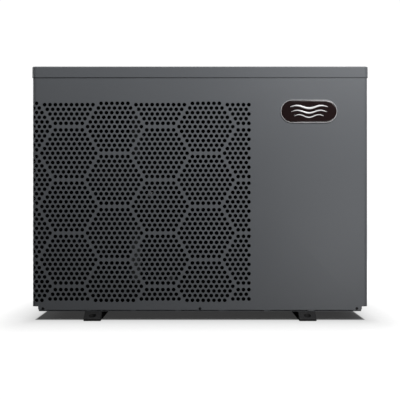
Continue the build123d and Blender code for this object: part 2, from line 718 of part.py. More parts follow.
def evaporator_fins():
    """Fin pack of the coil as one body, with the holes that the tubes are expanded into."""
    def profile():
        with Locations((0, sum(FIN_Z) / 2)):
            Rectangle(COIL_T, FIN_Z[1] - FIN_Z[0])
        with Locations(*[(0, z) for z in tube_heights()]):
            Circle(TUBE_R, mode=Mode.SUBTRACT)
    return coil_run(profile)


COIL_FRONT_END = at(COIL_LEFT_X, COIL_END_Y, 0, (0, -1, 0), (1, 0, 0))
COIL_RIGHT_END = at(COIL_END_X, COIL_REAR_Y, 0, (1, 0, 0), (0, 1, 0))


def return_bends(end_plane, first):
    """Return bends that join neighbouring tubes in pairs at one end of the coil."""
    with BuildPart() as bends:
        for z in tube_heights()[first:TUBE_COUNT - 1:2]:
            for height in (z, z + TUBE_PITCH):
                with BuildSketch(end_plane):
                    with Locations((0, height)):
                        Circle(TUBE_R)
                        Circle(TUBE_R - TUBE_WALL, mode=Mode.SUBTRACT)
                extrude(amount=TUBE_OUT)
            with BuildSketch(end_plane.offset(TUBE_OUT)):
                with Locations((0, z)):
                    Circle(TUBE_R)
                    Circle(TUBE_R - TUBE_WALL, mode=Mode.SUBTRACT)
            pivot = end_plane.offset(TUBE_OUT).from_local_coords((0, z + TUBE_PITCH / 2, 0))
            revolve(axis=Axis(pivot, -end_plane.x_dir), revolution_arc=180)
    return bends.part


def evaporator_tubes():
    """Copper serpentine: tubes along the L, joined by return bends at both ends."""
    def profile():
        with Locations(*[(0, z) for z in tube_heights()]):
            Circle(TUBE_R)
            Circle(TUBE_R - TUBE_WALL, mode=Mode.SUBTRACT)
    with BuildPart() as tubes:
        add(coil_run(profile).part, clean=False)
        add(return_bends(COIL_RIGHT_END, 1), clean=False)
        add(return_bends(COIL_FRONT_END, 0), clean=False)
    return tubes


def coil_end_plates():
    """Galvanised plates at the two ends of the coil, drilled for the tubes."""
    with BuildPart() as plates:
        for plane in (COIL_FRONT_END, COIL_RIGHT_END):
            with BuildSketch(plane):
                with Locations((0, (PAN_FLOOR + FIN_Z[1] + 6) / 2)):
                    Rectangle(COIL_T + 6, FIN_Z[1] + 6 - PAN_FLOOR)
                with Locations(*[(0, z) for z in tube_heights()]):
                    Circle(TUBE_R + 0.4, mode=Mode.SUBTRACT)
            extrude(amount=1.5)
    return plates


# ---------------------------------------------------------------- machine side


def compressor():
    """Welded can with domed ends on a three-eared foot plate."""
    with BuildPart() as can:
        with BuildSketch(Plane.XY.offset(GROMMET_TOP)):
            Circle(58)
            with PolarLocations(FOOT_CIRCLE_R, 3, start_angle=30):
                Circle(15)
            with PolarLocations(FOOT_CIRCLE_R / 2 + 10, 3, start_angle=30):
                Rectangle(60, 30)
            with PolarLocations(FOOT_CIRCLE_R, 3, start_angle=30):
                Circle(4.5, mode=Mode.SUBTRACT)
        extrude(amount=FOOT_PLATE_T)
        with BuildSketch(Plane.XY.offset(GROMMET_TOP + FOOT_PLATE_T)):
            Circle(COMPRESSOR_R)
        extrude(amount=CAN_H)
        fillet(can.faces().sort_by(Axis.Z)[-1].edges(), CAN_DOME_R)
        with BuildSketch(Plane.XY.offset(GROMMET_TOP + 280)):
            Circle(PORT_R)
        extrude(amount=14)
    with BuildPart() as placed:
        with Locations((COMPRESSOR[0], COMPRESSOR[1], 0)):
            add(can.part)
    return placed


def compressor_feet(outer_r, z_from, z_to, bore_r):
    """Three equal round pieces under or through the ears of the compressor's foot plate."""
    with BuildPart() as group:
        with BuildSketch(Plane.XY.offset(z_from)):
            with Locations(COMPRESSOR):
                with PolarLocations(FOOT_CIRCLE_R, 3, start_angle=30):
                    Circle(outer_r)
                    if bore_r:
                        Circle(bore_r, mode=Mode.SUBTRACT)
        extrude(amount=z_to - z_from)
    return group


def terminal_cover():
    """Black cap over the compressor's terminals."""
    with BuildPart() as cap:
        with BuildSketch(at(COMPRESSOR[0], COMPRESSOR[1] - COMPRESSOR_R - 0.2, 230, (0, -1, 0))):
            RectangleRounded(44, 54, 6)
        extrude(amount=24, taper=6)
    return cap


def suction_accumulator():
    """Accumulator bottle with its elbow towards the compressor."""
    x, y = ACCUMULATOR
    with BuildPart() as bottle:
        with Locations((x, y, 210)):
            Cylinder(37, 190)
        fillet(bottle.edges().filter_by(GeomType.CIRCLE), 18)
        with Locations((x, y, 306)):
            Cylinder(PORT_R, 12)
        add(pipe([(x, y, 118), (x, y, 82), (x, -25.5, 82)], 20, GAS_PIPE_R + 1))
    return bottle


def four_way_valve():
    """Reversing valve: a brass barrel with one port above and three below."""
    x, y, z = VALVE
    with BuildPart() as valve:
        with Locations(at(x, y, z, (1, 0, 0))):
            Cylinder(15, 104)
        fillet(valve.edges().filter_by(GeomType.CIRCLE), 4)
        with Locations((x, y, z + 17)):
            Cylinder(PORT_R, 14)
        with Locations(*[(x + dx, y, z - 17) for dx in (-VALVE_PORT_X, 0, VALVE_PORT_X)]):
            Cylinder(PORT_R, 14)
        with Locations(at(x, y - 17, z, (1, 0, 0))):
            Cylinder(5, 70)
    return valve


def valve_coil():
    """Solenoid coil on the reversing valve's pilot."""
    x, y, z = VALVE
    with BuildPart() as coil:
        with BuildSketch(at(x - 16, y - 22.3, z, (0, -1, 0), (1, 0, 0))):
            RectangleRounded(34, 34, 5)
        extrude(amount=24)
    return coil


def discharge_pipe():
    """Pipe from the compressor's top to the reversing valve's upper port."""
    x, y, z = VALVE
    cx, cy = COMPRESSOR
    top = z + 50
    with BuildPart() as run:
        add(pipe([(cx, cy, COMPRESSOR_TOP), (cx, cy, top), (x, y, top), (x, y, z + VALVE_PORT_DROP)],
                 18, GAS_PIPE_R))
    return run


def suction_pipe():
    """Pipe from the reversing valve's middle port down to the accumulator."""
    x, y, z = VALVE
    with BuildPart() as run:
        add(pipe([(x, y, z - VALVE_PORT_DROP), (x, y, 312)], 18, GAS_PIPE_R))
    return run


def evaporator_gas_pipe():
    """Pipe from the reversing valve to the coil's upright header."""
    x, y, z = VALVE
    with BuildPart() as run:
        add(pipe([(x - VALVE_PORT_X, y, z - VALVE_PORT_DROP), (x - VALVE_PORT_X, y, 418),
                  (x - VALVE_PORT_X, HEADER[1] - 5, 418)],
                 14, GAS_PIPE_R))
        with Locations((HEADER[0], HEADER[1], sum(HEADER_Z) / 2)):
            Cylinder(GAS_PIPE_R + 2, HEADER_Z[1] - HEADER_Z[0])
    return run


def condenser_gas_pipe():
    """Pipe from the reversing valve over to the top of the heat exchanger."""
    x, y, z = VALVE
    with BuildPart() as run:
        add(pipe([(x + VALVE_PORT_X, y, z - VALVE_PORT_DROP), (x + VALVE_PORT_X, y, 412),
                  (298, y, 412), (298, y, 512), (EXCHANGER[0], y, 512),
                  (EXCHANGER[0], y, EXCHANGER_TOP + CAP_T)], 14, GAS_PIPE_R))
    return run


def liquid_pipe():
    """Pipe from the exchanger through the filter drier and the expansion valve to the coil."""
    x, y = DRIER
    with BuildPart() as run:
        add(pipe([(x, EXCHANGER[1] - EXCHANGER_R - 0.3, 100), (x, y, 100), (x, y, 160)], 20, LIQUID_PIPE_R))
        add(pipe([(x, y, 262), (x, y, 380), (x - 38, y, 380)], 20, LIQUID_PIPE_R))
        add(pipe([(x - 68, y, 380), (172, y, 380), (172, HEADER[1] - 22, 380)], 20, LIQUID_PIPE_R))
    return run


def filter_drier():
    """Copper drier cartridge between two necks."""
    with BuildPart() as drier:
        with Locations((DRIER[0], DRIER[1], 211)):
            Cylinder(17, 78)
            Cylinder(7, 102)
        fillet(drier.edges().filter_by(GeomType.CIRCLE).filter_by(lambda edge: edge.radius > 16), 8)
    return drier


def expansion_valve():
    """Electronic expansion valve: brass body under a round step motor."""
    with BuildPart() as valve:
        with Locations((DRIER[0] - 53, DRIER[1], 380)):
            Box(30, 20, 20)
        with Locations((DRIER[0] - 53, DRIER[1], 408)):
            Cylinder(18, 36)
    return valve


def heat_exchanger_shell():
    """Water vessel with its two stubs, which carry the union threads behind the cabinet."""
    x, y = EXCHANGER
    with BuildPart() as shell:
        with Locations((x, y, PAN_FLOOR)):
            Cylinder(EXCHANGER_R, EXCHANGER_TOP - PAN_FLOOR, align=(Align.CENTER, Align.CENTER, Align.MIN))
        for z in UNION_Z.values():
            with BuildSketch(at(x, y, z, (0, 1, 0))):
                Circle(STUB_R)
            extrude(amount=STUB_END_Y - y)
        with Locations((x, y, PAN_FLOOR + 24)):
            Cylinder(EXCHANGER_R - SHELL_WALL, EXCHANGER_TOP, align=(Align.CENTER, Align.CENTER, Align.MIN),
                     mode=Mode.SUBTRACT)
        for z in UNION_Z.values():
            with BuildSketch(at(x, y, z, (0, 1, 0))):
                Circle(STUB_R - SHELL_WALL)
            extrude(amount=STUB_END_Y - y, mode=Mode.SUBTRACT)
    return shell


def heat_exchanger_cap():
    """Bolted cap of the water vessel."""
    with BuildPart() as cap:
        with Locations((EXCHANGER[0], EXCHANGER[1], EXCHANGER_TOP)):
            Cylinder(EXCHANGER_R + 4, CAP_T, align=(Align.CENTER, Align.CENTER, Align.MIN))
        fillet(cap.faces().sort_by(Axis.Z)[-1].edges(), 5)
        with Locations((EXCHANGER[0], EXCHANGER[1], EXCHANGER_TOP)):
            with PolarLocations(EXCHANGER_R - 12, 8):
                Cylinder(5, CAP_T + 4, align=(Align.CENTER, Align.CENTER, Align.MIN))
    return cap


def titanium_coil():
    """Titanium refrigerant coil inside the water vessel."""
    with BuildPart() as coil:
        with BuildLine() as turns:
            Helix(TITANIUM_PITCH, TITANIUM_Z[1] - TITANIUM_Z[0], 60, center=(*EXCHANGER, TITANIUM_Z[0]))
        with BuildSketch(Plane(origin=turns.line @ 0, z_dir=turns.line % 0)):
            Circle(8)
        sweep(path=turns.line, is_frenet=True)
    return coil


def union_nut(z):
    """Ribbed nut that turns freely round the stub and the tailpiece's collar."""
    with BuildPart() as nut:
        with BuildSketch(at(UNION_X, HALF_D + UNION_NUT_Y, z, (0, 1, 0))):
            Circle(UNION_NUT_R)
            with PolarLocations(UNION_NUT_R, 10):
                Circle(3.2)
            Circle(STUB_R + RUNNING, mode=Mode.SUBTRACT)
        extrude(amount=UNION_NUT_LENGTH)
        with BuildSketch(at(UNION_X, HALF_D + 18, z, (0, 1, 0))):
            Circle(34)
            Circle(TAIL_R + 0.4, mode=Mode.SUBTRACT)
        extrude(amount=9)
    return nut


def union_tailpieces():
    """Two collars, each with a socket for a 50 mm pipe."""
    with BuildPart() as tails:
        for z in UNION_Z.values():
            with BuildSketch(at(UNION_X, STUB_END_Y, z, (0, 1, 0))):
                Circle(TAIL_FLANGE_R)
            extrude(amount=5.6)
            with BuildSketch(at(UNION_X, STUB_END_Y, z, (0, 1, 0))):
                Circle(TAIL_R)
            extrude(amount=UNION_END_Y - STUB_END_Y)
            with BuildSketch(at(UNION_X, STUB_END_Y + 3, z, (0, 1, 0))):
                Circle(SOCKET_R)
            extrude(amount=60, mode=Mode.SUBTRACT)
            with BuildSketch(at(UNION_X, STUB_END_Y, z, (0, 1, 0))):
                Circle(SOCKET_R - 3)
            extrude(amount=10, mode=Mode.SUBTRACT)
    return tails


def flow_switch():
    """Flow switch screwed onto the inlet side of the vessel."""
    with BuildPart() as switch:
        with BuildSketch(at(EXCHANGER[0], EXCHANGER[1] - EXCHANGER_R - 0.2, 420, (0, -1, 0), (1, 0, 0))):
            Circle(12)
        extrude(amount=16)
        with BuildSketch(at(EXCHANGER[0], EXCHANGER[1] - EXCHANGER_R - 16.2, 420, (0, -1, 0), (1, 0, 0))):
            RectangleRounded(36, 48, 6)
        extrude(amount=26)
    return switch


# ---------------------------------------------------------------- electrics
def electrical_box():
    """Open sheet tray at the top of the machine side."""
    width, depth, height = BOX_X[1] - BOX_X[0], BOX_Y[1] - BOX_Y[0], BOX_Z[1] - BOX_Z[0]
    centre = (sum(BOX_X) / 2, sum(BOX_Y) / 2)
    with BuildPart() as box:
        with Locations((*centre, BOX_Z[0])):
            Box(width, depth, height, align=(Align.CENTER, Align.CENTER, Align.MIN))
        with Locations((*centre, BOX_Z[0] + SHEET)):
            Box(width - 2 * SHEET, depth - 2 * SHEET, height, align=(Align.CENTER, Align.CENTER, Align.MIN),
                mode=Mode.SUBTRACT)
        with Locations((BOX_X[0], SINK_Y, SINK_Z)):
            Box(20, SINK_W + 0.8, SINK_H + 0.8, mode=Mode.SUBTRACT)
    return box


def heat_sink():
    """Finned aluminium block that reaches through the partition into the air stream."""
    with BuildPart() as sink:
        with Locations((BOX_X[0], SINK_Y, SINK_Z)):
            Box(8, SINK_W, SINK_H)
        with BuildSketch(at(BOX_X[0] - 4, SINK_Y, SINK_Z, (-1, 0, 0), (0, 1, 0))):
            with GridLocations(10, 1, 14, 1):
                Rectangle(2.4, SINK_H)
        extrude(amount=46)
    return sink


def control_board():
    """Upright inverter board with its tall components."""
    with BuildPart() as board:
        with Locations((BOARD_X + 0.8, -40, 650)):
            Box(1.6, 240, 150)
        for y, z, radius in ((-120, 690, 16), (-80, 690, 16), (-40, 690, 16), (10, 700, 10)):
            with Locations(at(BOARD_X + 1.6, y, z, (1, 0, 0))):
                Cylinder(radius, 45, align=(Align.CENTER, Align.CENTER, Align.MIN))
        for y, z, size in ((-110, 620, 34), (-50, 615, 40), (20, 630, 30), (55, 690, 22)):
            with Locations((BOARD_X + 1.6, y, z)):
                Box(24, size, size, align=(Align.MIN, Align.CENTER, Align.CENTER))
    return board


def terminal_block():
    """Mains terminals standing on the electrical box's floor."""
    with BuildPart() as block:
        with Locations((400, -100, BOX_Z[0] + SHEET)):
            Box(40, 110, 22, align=(Align.CENTER, Align.CENTER, Align.MIN))
            with GridLocations(40, 18, 1, 7):
                Box(40, 2, 34, align=(Align.CENTER, Align.CENTER, Align.MIN))
    return block


def cable_glands():
    """Two glands in the rear panel, bored for their cables."""
    with BuildPart() as glands:
        for x in GLAND_X:
            with BuildSketch(at(x, HALF_D, GLAND_Z, (0, 1, 0))):
                RegularPolygon(16, 6)
            extrude(amount=7)
            with BuildSketch(at(x, HALF_D + 7, GLAND_Z, (0, 1, 0))):
                Circle(13)
            extrude(amount=17, taper=8)
            with BuildSketch(at(x, HALF_D, GLAND_Z, (0, -1, 0))):
                Circle(GLAND_R - 0.4)
            extrude(amount=12)
            with Locations(at(x, HALF_D, GLAND_Z, (0, 1, 0))):
                Cylinder(GLAND_BORE_R, 80, mode=Mode.SUBTRACT)
    return glands


# ---------------------------------------------------------------- display


def display_housing():
    """Pocket let into the side sheet, with a face for the screen and the keys."""
    with BuildPart() as housing:
        with BuildSketch(Plane.YZ.offset(HALF_W)):
            with Locations((DISPLAY_Y, DISPLAY_Z)):
                RectangleRounded(POCKET_W + 18, POCKET_H + 18, 10)
        extrude(amount=1.6)
        with BuildSketch(Plane.YZ.offset(HALF_W)):
            with Locations((DISPLAY_Y, DISPLAY_Z)):
                RectangleRounded(POCKET_W + 3.4, POCKET_H + 3.4, CUTOUT_CORNER_R - 0.3)
        extrude(amount=-POCKET_DEPTH - 2)
        with BuildSketch(Plane.YZ.offset(POCKET_FLOOR_X)):
            with Locations((DISPLAY_Y, DISPLAY_Z)):
                RectangleRounded(POCKET_W, POCKET_H, POCKET_CORNER_R)
        extrude(amount=60, mode=Mode.SUBTRACT)
        with BuildSketch(Plane.YZ.offset(POCKET_FLOOR_X)):
            with Locations(*[(DISPLAY_Y + y, KEY_Z) for y in KEY_Y]):
                Circle(KEY_R + 0.3)
        extrude(amount=-10, mode=Mode.SUBTRACT)
        with Locations(at(HINGE_X, DISPLAY_Y, HINGE_Z, (0, 1, 0))):
            Cylinder(HINGE_R + 0.02, POCKET_W + 3, mode=Mode.SUBTRACT)
    return housing


def display_screen():
    """Screen with a chamfered edge, on the pocket's floor."""
    with BuildPart() as screen:
        with BuildSketch(Plane.YZ.offset(POCKET_FLOOR_X)):
            with Locations((DISPLAY_Y, DISPLAY_Z + 14)):
                RectangleRounded(92, 48, 4)
        extrude(amount=2.2)
        chamfer(screen.faces().sort_by(Axis.X)[-1].edges(), 0.8)
    return screen


def hinge_pin():
    """Pin on which the flap swings."""
    with BuildPart() as pin:
        with Locations(at(HINGE_X, DISPLAY_Y, HINGE_Z, (0, 1, 0))):
            Cylinder(HINGE_R, POCKET_W + 2.6)
    return pin


def display_cover():
    """Flap over the display, with a barrel round the hinge pin along its upper edge."""
    bottom = DISPLAY_Z - POCKET_H / 2 + 1.5
    with BuildPart() as cover:
        with BuildSketch(Plane.YZ.offset(HALF_W - COVER_T)):
            with Locations((DISPLAY_Y, (bottom + HINGE_Z) / 2)):
                Rectangle(COVER_W, HINGE_Z - bottom)
        extrude(amount=COVER_T)
        with Locations(at(HINGE_X, DISPLAY_Y, HINGE_Z, (0, 1, 0))):
            Cylinder(HINGE_R + 1.6, COVER_W)
        with BuildSketch(Plane.YZ.offset(HALF_W)):
            with Locations((DISPLAY_Y, bottom + 7)):
                SlotOverall(40, 5)
        extrude(amount=1.4)
        with Locations(at(HINGE_X, DISPLAY_Y, HINGE_Z, (0, 1, 0))):
            Cylinder(HINGE_R + RUNNING, COVER_W + 2, mode=Mode.SUBTRACT)
    return cover


def display_key(y):
    """Round key that travels into the display face, held by a collar behind it."""
    with BuildPart() as key:
        with BuildSketch(Plane.YZ.offset(POCKET_FLOOR_X + 2.2)):
            with Locations((DISPLAY_Y + y, KEY_Z)):
                Circle(KEY_R)
        extrude(amount=-6)
        chamfer(key.faces().sort_by(Axis.X)[-1].edges(), 0.6)
        with BuildSketch(Plane.YZ.offset(POCKET_FLOOR_X - 2.3)):
            with Locations((DISPLAY_Y + y, KEY_Z)):
                Circle(KEY_R + 1.6)
        extrude(amount=-1.5)
    return key


# ---------------------------------------------------------------- badge


def badge_plate():
    """Dark full-round plate beside the perforation."""
    with BuildPart() as plate:
        with BuildSketch(at(BADGE_X, -HALF_D, BADGE_Z, (0, -1, 0), (1, 0, 0))):
            SlotOverall(BADGE_W - 2 * RIM_W - 0.2, BADGE_H - 2 * RIM_W - 0.2)
        extrude(amount=2)
    return plate


def badge_rim():
    """Raised bright rim round the badge."""
    with BuildPart() as rim:
        with BuildSketch(at(BADGE_X, -HALF_D, BADGE_Z, (0, -1, 0), (1, 0, 0))):
            SlotOverall(BADGE_W, BADGE_H)
            SlotOverall(BADGE_W - 2 * RIM_W, BADGE_H - 2 * RIM_W, mode=Mode.SUBTRACT)
        extrude(amount=2.8)
    return rim


def drain_nozzle():
    """Flanged spigot under the pan for a condensate hose."""
    with BuildPart() as nozzle:
        with Locations((*DRAIN, PAN_BOTTOM)):
            Cylinder(DRAIN_R + 3, 2, align=(Align.CENTER, Align.CENTER, Align.MAX))
            Cylinder(DRAIN_SPIGOT_R, 18, align=(Align.CENTER, Align.CENTER, Align.MAX))
            Cylinder(DRAIN_SPIGOT_R, SHEET + 1, align=(Align.CENTER, Align.CENTER, Align.MIN))
            Cylinder(DRAIN_SPIGOT_R - 1.7, 60, mode=Mode.SUBTRACT)
    return nozzle


# ---------------------------------------------------------------- screws
screw_planes = [at(x, -HALF_D, FRONT_SCREW_Z, (0, -1, 0)) for x in FRONT_SCREW_X]
screw_planes += [at(side * (HALF_W + LID_OVER), y, LID_SCREW_Z, (side, 0, 0))
                 for side in (-1, 1) for y in LID_SCREW_Y]
screw_planes += [at(x, HALF_D + LID_OVER, LID_SCREW_Z, (0, 1, 0)) for x in LID_SCREW_X]
screw_planes += [at(side * RETURN_SCREW_X, HALF_D, z, (0, 1, 0))
                 for side in (-1, 1) for z in SIDE_SCREW_Z]
screw_planes += [at(SERVICE_X[0] + SERVICE_SCREW_INSET, HALF_D, z, (0, 1, 0)) for z in SERVICE_SCREW_Z]

pieces = {
    "front_panel": front_panel(),
    "left_side_panel": side_panel(-1),
    "right_side_panel": side_panel(1),
    "rear_service_panel": rear_service_panel(),
    "rear_coil_guard": rear_coil_guard(),
    "rear_frame": rear_frame(),
    "top_cover": top_cover(),
    "base_pan": base_pan(),
    "left_foot": foot(-1),
    "right_foot": foot(1),
    "foot_pads": foot_pads(),
    "foot_bolts": foot_bolts(),
    "drain_nozzle": drain_nozzle(),
    "partition": partition(),
    "fan_shroud": fan_shroud(),
    "fan_rotor": fan_rotor(),
    "fan_nut": fan_nut(),
    "motor_shaft": motor_shaft(),
    "fan_motor": fan_motor(),
    "motor_bracket": motor_bracket(),
    "evaporator_fins": evaporator_fins(),
    "evaporator_tubes": evaporator_tubes(),
    "coil_end_plates": coil_end_plates(),
    "compressor": compressor(),
    "compressor_grommets": compressor_feet(13, PAN_FLOOR, GROMMET_TOP, 4.4),
    "compressor_bolts": compressor_feet(4, PAN_FLOOR, GROMMET_TOP + 14, 0),
    "terminal_cover": terminal_cover(),
    "suction_accumulator": suction_accumulator(),
    "four_way_valve": four_way_valve(),
    "four_way_valve_coil": valve_coil(),
    "discharge_pipe": discharge_pipe(),
    "suction_pipe": suction_pipe(),
    "evaporator_gas_pipe": evaporator_gas_pipe(),
    "condenser_gas_pipe": condenser_gas_pipe(),
    "liquid_pipe": liquid_pipe(),
    "filter_drier": filter_drier(),
    "expansion_valve": expansion_valve(),
    "heat_exchanger_shell": heat_exchanger_shell(),
    "heat_exchanger_cap": heat_exchanger_cap(),
    "titanium_coil": titanium_coil(),
    "flow_switch": flow_switch(),
    "electrical_box": electrical_box(),
    "heat_sink": heat_sink(),
    "control_board": control_board(),
    "terminal_block": terminal_block(),
    "cable_glands": cable_glands(),
    "display_housing": display_housing(),
    "display_screen": display_screen(),
    "display_hinge_pin": hinge_pin(),
    "display_cover": display_cover(),
    "key_power": display_key(KEY_Y[0]),
    "key_mode": display_key(KEY_Y[1]),
    "key_down": display_key(KEY_Y[2]),
    "key_up": display_key(KEY_Y[3]),
    "inlet_union_nut": union_nut(UNION_Z["inlet"]),
    "outlet_union_nut": union_nut(UNION_Z["outlet"]),
    "union_tailpieces": union_tailpieces(),
    "badge_plate": badge_plate(),
    "badge_rim": badge_rim(),
    "cabinet_screws": screws(screw_planes),
}
for name, piece in pieces.items():
    save(piece, name)
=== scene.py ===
import json
from math import cos, pi, radians, sin, sqrt

import bmesh
import bpy
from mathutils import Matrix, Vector
from mathutils.geometry import delaunay_2d_cdt

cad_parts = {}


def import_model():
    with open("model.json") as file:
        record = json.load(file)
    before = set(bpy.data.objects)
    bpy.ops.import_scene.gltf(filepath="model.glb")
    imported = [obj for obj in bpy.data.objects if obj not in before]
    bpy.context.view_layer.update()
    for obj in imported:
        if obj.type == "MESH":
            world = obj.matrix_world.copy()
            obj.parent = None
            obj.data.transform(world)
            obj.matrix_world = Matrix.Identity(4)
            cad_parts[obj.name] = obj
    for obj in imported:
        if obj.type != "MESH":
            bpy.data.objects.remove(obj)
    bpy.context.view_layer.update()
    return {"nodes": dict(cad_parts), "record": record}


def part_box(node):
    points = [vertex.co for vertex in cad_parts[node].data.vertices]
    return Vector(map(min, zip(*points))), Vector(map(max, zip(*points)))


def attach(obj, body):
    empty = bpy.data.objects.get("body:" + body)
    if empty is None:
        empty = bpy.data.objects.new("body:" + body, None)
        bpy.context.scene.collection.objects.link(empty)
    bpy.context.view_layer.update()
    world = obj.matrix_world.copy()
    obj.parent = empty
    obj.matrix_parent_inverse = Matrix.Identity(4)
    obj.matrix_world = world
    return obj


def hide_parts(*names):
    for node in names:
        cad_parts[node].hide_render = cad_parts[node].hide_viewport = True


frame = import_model()
MM = 0.001

# ---------------------------------------------------------------- cabinet sheets, in metres
SHEET = 1.2 * MM
HALF_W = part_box("right_side_panel")[1].x
HALF_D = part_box("rear_service_panel")[1].y
PANEL_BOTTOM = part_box("right_side_panel")[0].z
PANEL_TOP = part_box("right_side_panel")[1].z
BAND_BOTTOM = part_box("front_panel")[0].z
BAND_HALF_W = 481.8 * MM
BAND_CORNER_R = 4 * MM
CORNER_STEPS = 6
BEND_R = 12 * MM
BEND_STEPS = 8
BEND_LENGTH = BEND_R * pi / 2
FLAT_X = HALF_W - BEND_R
SIDE_LENGTH = 2 * (HALF_D - BEND_R)
RETURN_D = 45 * MM                  # depth to which the front sheet wraps round each side
REAR_RETURN = 22 * MM
SEAM_GAP = 0.6 * MM
SEAM_U = -FLAT_X - BEND_LENGTH - (RETURN_D - BEND_R)

# ---------------------------------------------------------------- perforation
HOLE_R = 5.6 * MM
HOLE_SIDES = 16
HOLE_CORNER_R = HOLE_R / cos(pi / HOLE_SIDES)
HOLE_KEEP = HOLE_R + 3 * MM         # from a sheet's edge to the nearest hole centre
PITCH = 16 * MM
ROW = PITCH * sqrt(3) / 2
CELL_HALF_ROWS = 5                  # rows above and below a hexagonal cell's middle row
CELL_W = 8.5 * PITCH
CELL_H = 158.4 * MM
CELL_COLUMNS = range(-7, 3)
CELL_STEPS = range(-1, 6)
EVEN_COLUMN_U = 17.5 * MM
EVEN_CELL_Z = 98.8 * MM
PERF_Z = (53 * MM, 648 * MM)
PERF_RIGHT = 151 * MM

# ---------------------------------------------------------------- rear guard and coil
WIRE_SIDES = 10
WIRE_TIP_R = 0.55                   # a wire's rounded end, as shares of its radius
WIRE_TIP_LENGTH = 0.6
LEVEL_WIRE_R = 1.6 * MM
UPRIGHT_WIRE_R = 1.25 * MM
GRID_ROWS = 12
GRID_COLUMNS = 64
GRID_MARGIN = 4 * MM
COIL_DEPTH = 32 * MM
COIL_BEND_R = 70 * MM
FIN_PITCH = 2.6 * MM
FIN_T = 0.35 * MM
FIN_WAVE = 3.2 * MM
FIN_FOLDS = 4

# ---------------------------------------------------------------- badge
BADGE_LOW, BADGE_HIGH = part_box("badge_rim")
BADGE_MIDDLE = (BADGE_LOW + BADGE_HIGH) / 2
BADGE_W = BADGE_HIGH.x - BADGE_LOW.x
BADGE_H = BADGE_HIGH.z - BADGE_LOW.z
BADGE_ARC_STEPS = 24
# inset from the badge's outline and stand off the sheet, in mm
RIM_PROFILE = ((0, 0.05), (0, 1.6), (0.15, 2.3), (0.5, 2.7), (0.9, 2.7), (1.25, 2.3), (1.4, 1.6), (1.4, 0.05))
FACE_PROFILE = ((1.5, 0.05), (1.5, 1.3), (1.9, 1.6), (6, 1.8), (12, 1.95), (22, 2.0))
# height over the badge's middle, length and thickness, in mm
WAVES = ((13, 112, 6.5), (-1, 104, 5.0), (-14, 88, 3.8))
# stand off the sheet in mm, and share of the half thickness
WAVE_SECTION = ((1.7, -1), (2.35, -0.8), (2.55, 0), (2.35, 0.8), (1.7, 1))
WAVE_STEPS = 60
WAVE_SWING = 4.0 * MM
WAVE_TURN = 3 * pi
WAVE_TIP = 0.02                     # share of the length where a strip's taper stops

# ---------------------------------------------------------------- screws
SCREW_SIDES = 24
# radius, and height over the head's top, in mm
SCREW_PROFILE = ((1.9, -8.5), (1.9, -1.8), (3.9, -1.8), (4.0, -1.3), (3.7, -0.7), (2.9, -0.25), (1.9, -0.03))
CROSS_RADII = (1.75, 1.5, 0.55, 0.55, 0.55, 1.5)    # a quarter of the recess's outline, in mm
RECESS_TOP = 0.06 * MM
RECESS_DEPTH = 0.9 * MM
RECESS_TAPER = 0.3
WELD_DISTANCE = 1e-6

# ---------------------------------------------------------------- colours, linear RGB
PAINT = (0.118, 0.125, 0.135)
DUST = (0.16, 0.15, 0.135)
DUST_Z = (160 * MM, 20 * MM)        # heights where the dust starts and where it is thickest
DUST_SHARE = 0.10
# near-black, ten times darker than black_plastic below: real black parts with painted shade, so the holes
# read as dark
BLACK_WITH_PAINTED_SHADE = (0.0018, 0.0018, 0.0019)
NOISE_RANGE = (0.3, 0.7)            # most of a noise texture's values lie between these

# ---------------------------------------------------------------- stage, light and camera
GROUND_HALF = 12
GROUND_TONES = ((0.10, 0.10, 0.10), (0.12, 0.12, 0.12))
# painted shadow: the ground's glow for camera rays is dimmed round the unit's footprint
FOOTPRINT = (0.487, 0.212, 0)
SHADOW_REACH = 0.40
SHADOW_STRETCH = (2.5, 1.0, 0)
# share of the painted shadow's reach outside the footprint, and the ground's painted brightness there
SHADOW_STOPS = ((0, 0.038), (0.03, 0.58), (0.10, 0.64), (0.30, 0.76), (0.58, 0.86), (1, 1))
WORLD_LIGHT = 0.07
WORLD_SEEN = 1.05
CAMERA_REACH = 3.0
IMAGE_WIDTH = 1.1904
EYE_HEIGHT = 0.3556
SENSOR_MM = 36
CAMERA_FAR = 60
# name, place, aim and size in metres, and power in watts
LIGHTS = (
    ("key", (0.75, -1.0, 1.35), (0.35, -0.21, 0.5), (0.6, 0.6), 14.2),
    ("lower_right", (0.6, -0.9, 0.15), (0.42, -0.2, 0.3), (0.5, 0.5), 1.5),
    ("upper_left", (-0.5, -0.8, 1.6), (-0.45, -0.21, 0.6), (0.8, 0.5), 7.5),
    ("top", (0.0, 0.3, 2.4), (0, 0.1, 0.7), (1.6, 1.2), 14),
    ("rear_fill", (0.8, 2.6, 1.4), (0, 0.2, 0.4), (1.6, 1.2), 40),
    ("right_fill", (2.4, 0.7, 1.2), (0.5, 0, 0.4), (1.4, 1.2), 7),
    ("left_fill", (-2.4, 0.8, 1.2), (-0.5, 0, 0.4), (1.4, 1.2), 16),
)


# ---------------------------------------------------------------- materials
def new_material(name):
    """Node material, with its nodes, links and shader."""
    material = bpy.data.materials.new(name)
    material.use_nodes = True
    nodes = material.node_tree.nodes
    return material, nodes, material.node_tree.links, nodes["Principled BSDF"]


def texture_space(nodes):
    """Object coordinates in metres, which is the frame's own space."""
    return nodes.new("ShaderNodeTexCoord").outputs["Object"]


def noise(nodes, links, vector, scale, detail=4.0, roughness=0.55, stretch=None):
    """Noise texture's factor; stretch scales the space along each axis first."""
    if stretch:
        mapping = nodes.new("ShaderNodeMapping")
        mapping.inputs["Scale"].default_value = stretch
        links.new(vector, mapping.inputs["Vector"])
        vector = mapping.outputs["Vector"]
    texture = nodes.new("ShaderNodeTexNoise")
    texture.inputs["Scale"].default_value = scale
    texture.inputs["Detail"].default_value = detail
    texture.inputs["Roughness"].default_value = roughness
    links.new(vector, texture.inputs["Vector"])
    return texture.outputs["Fac"]


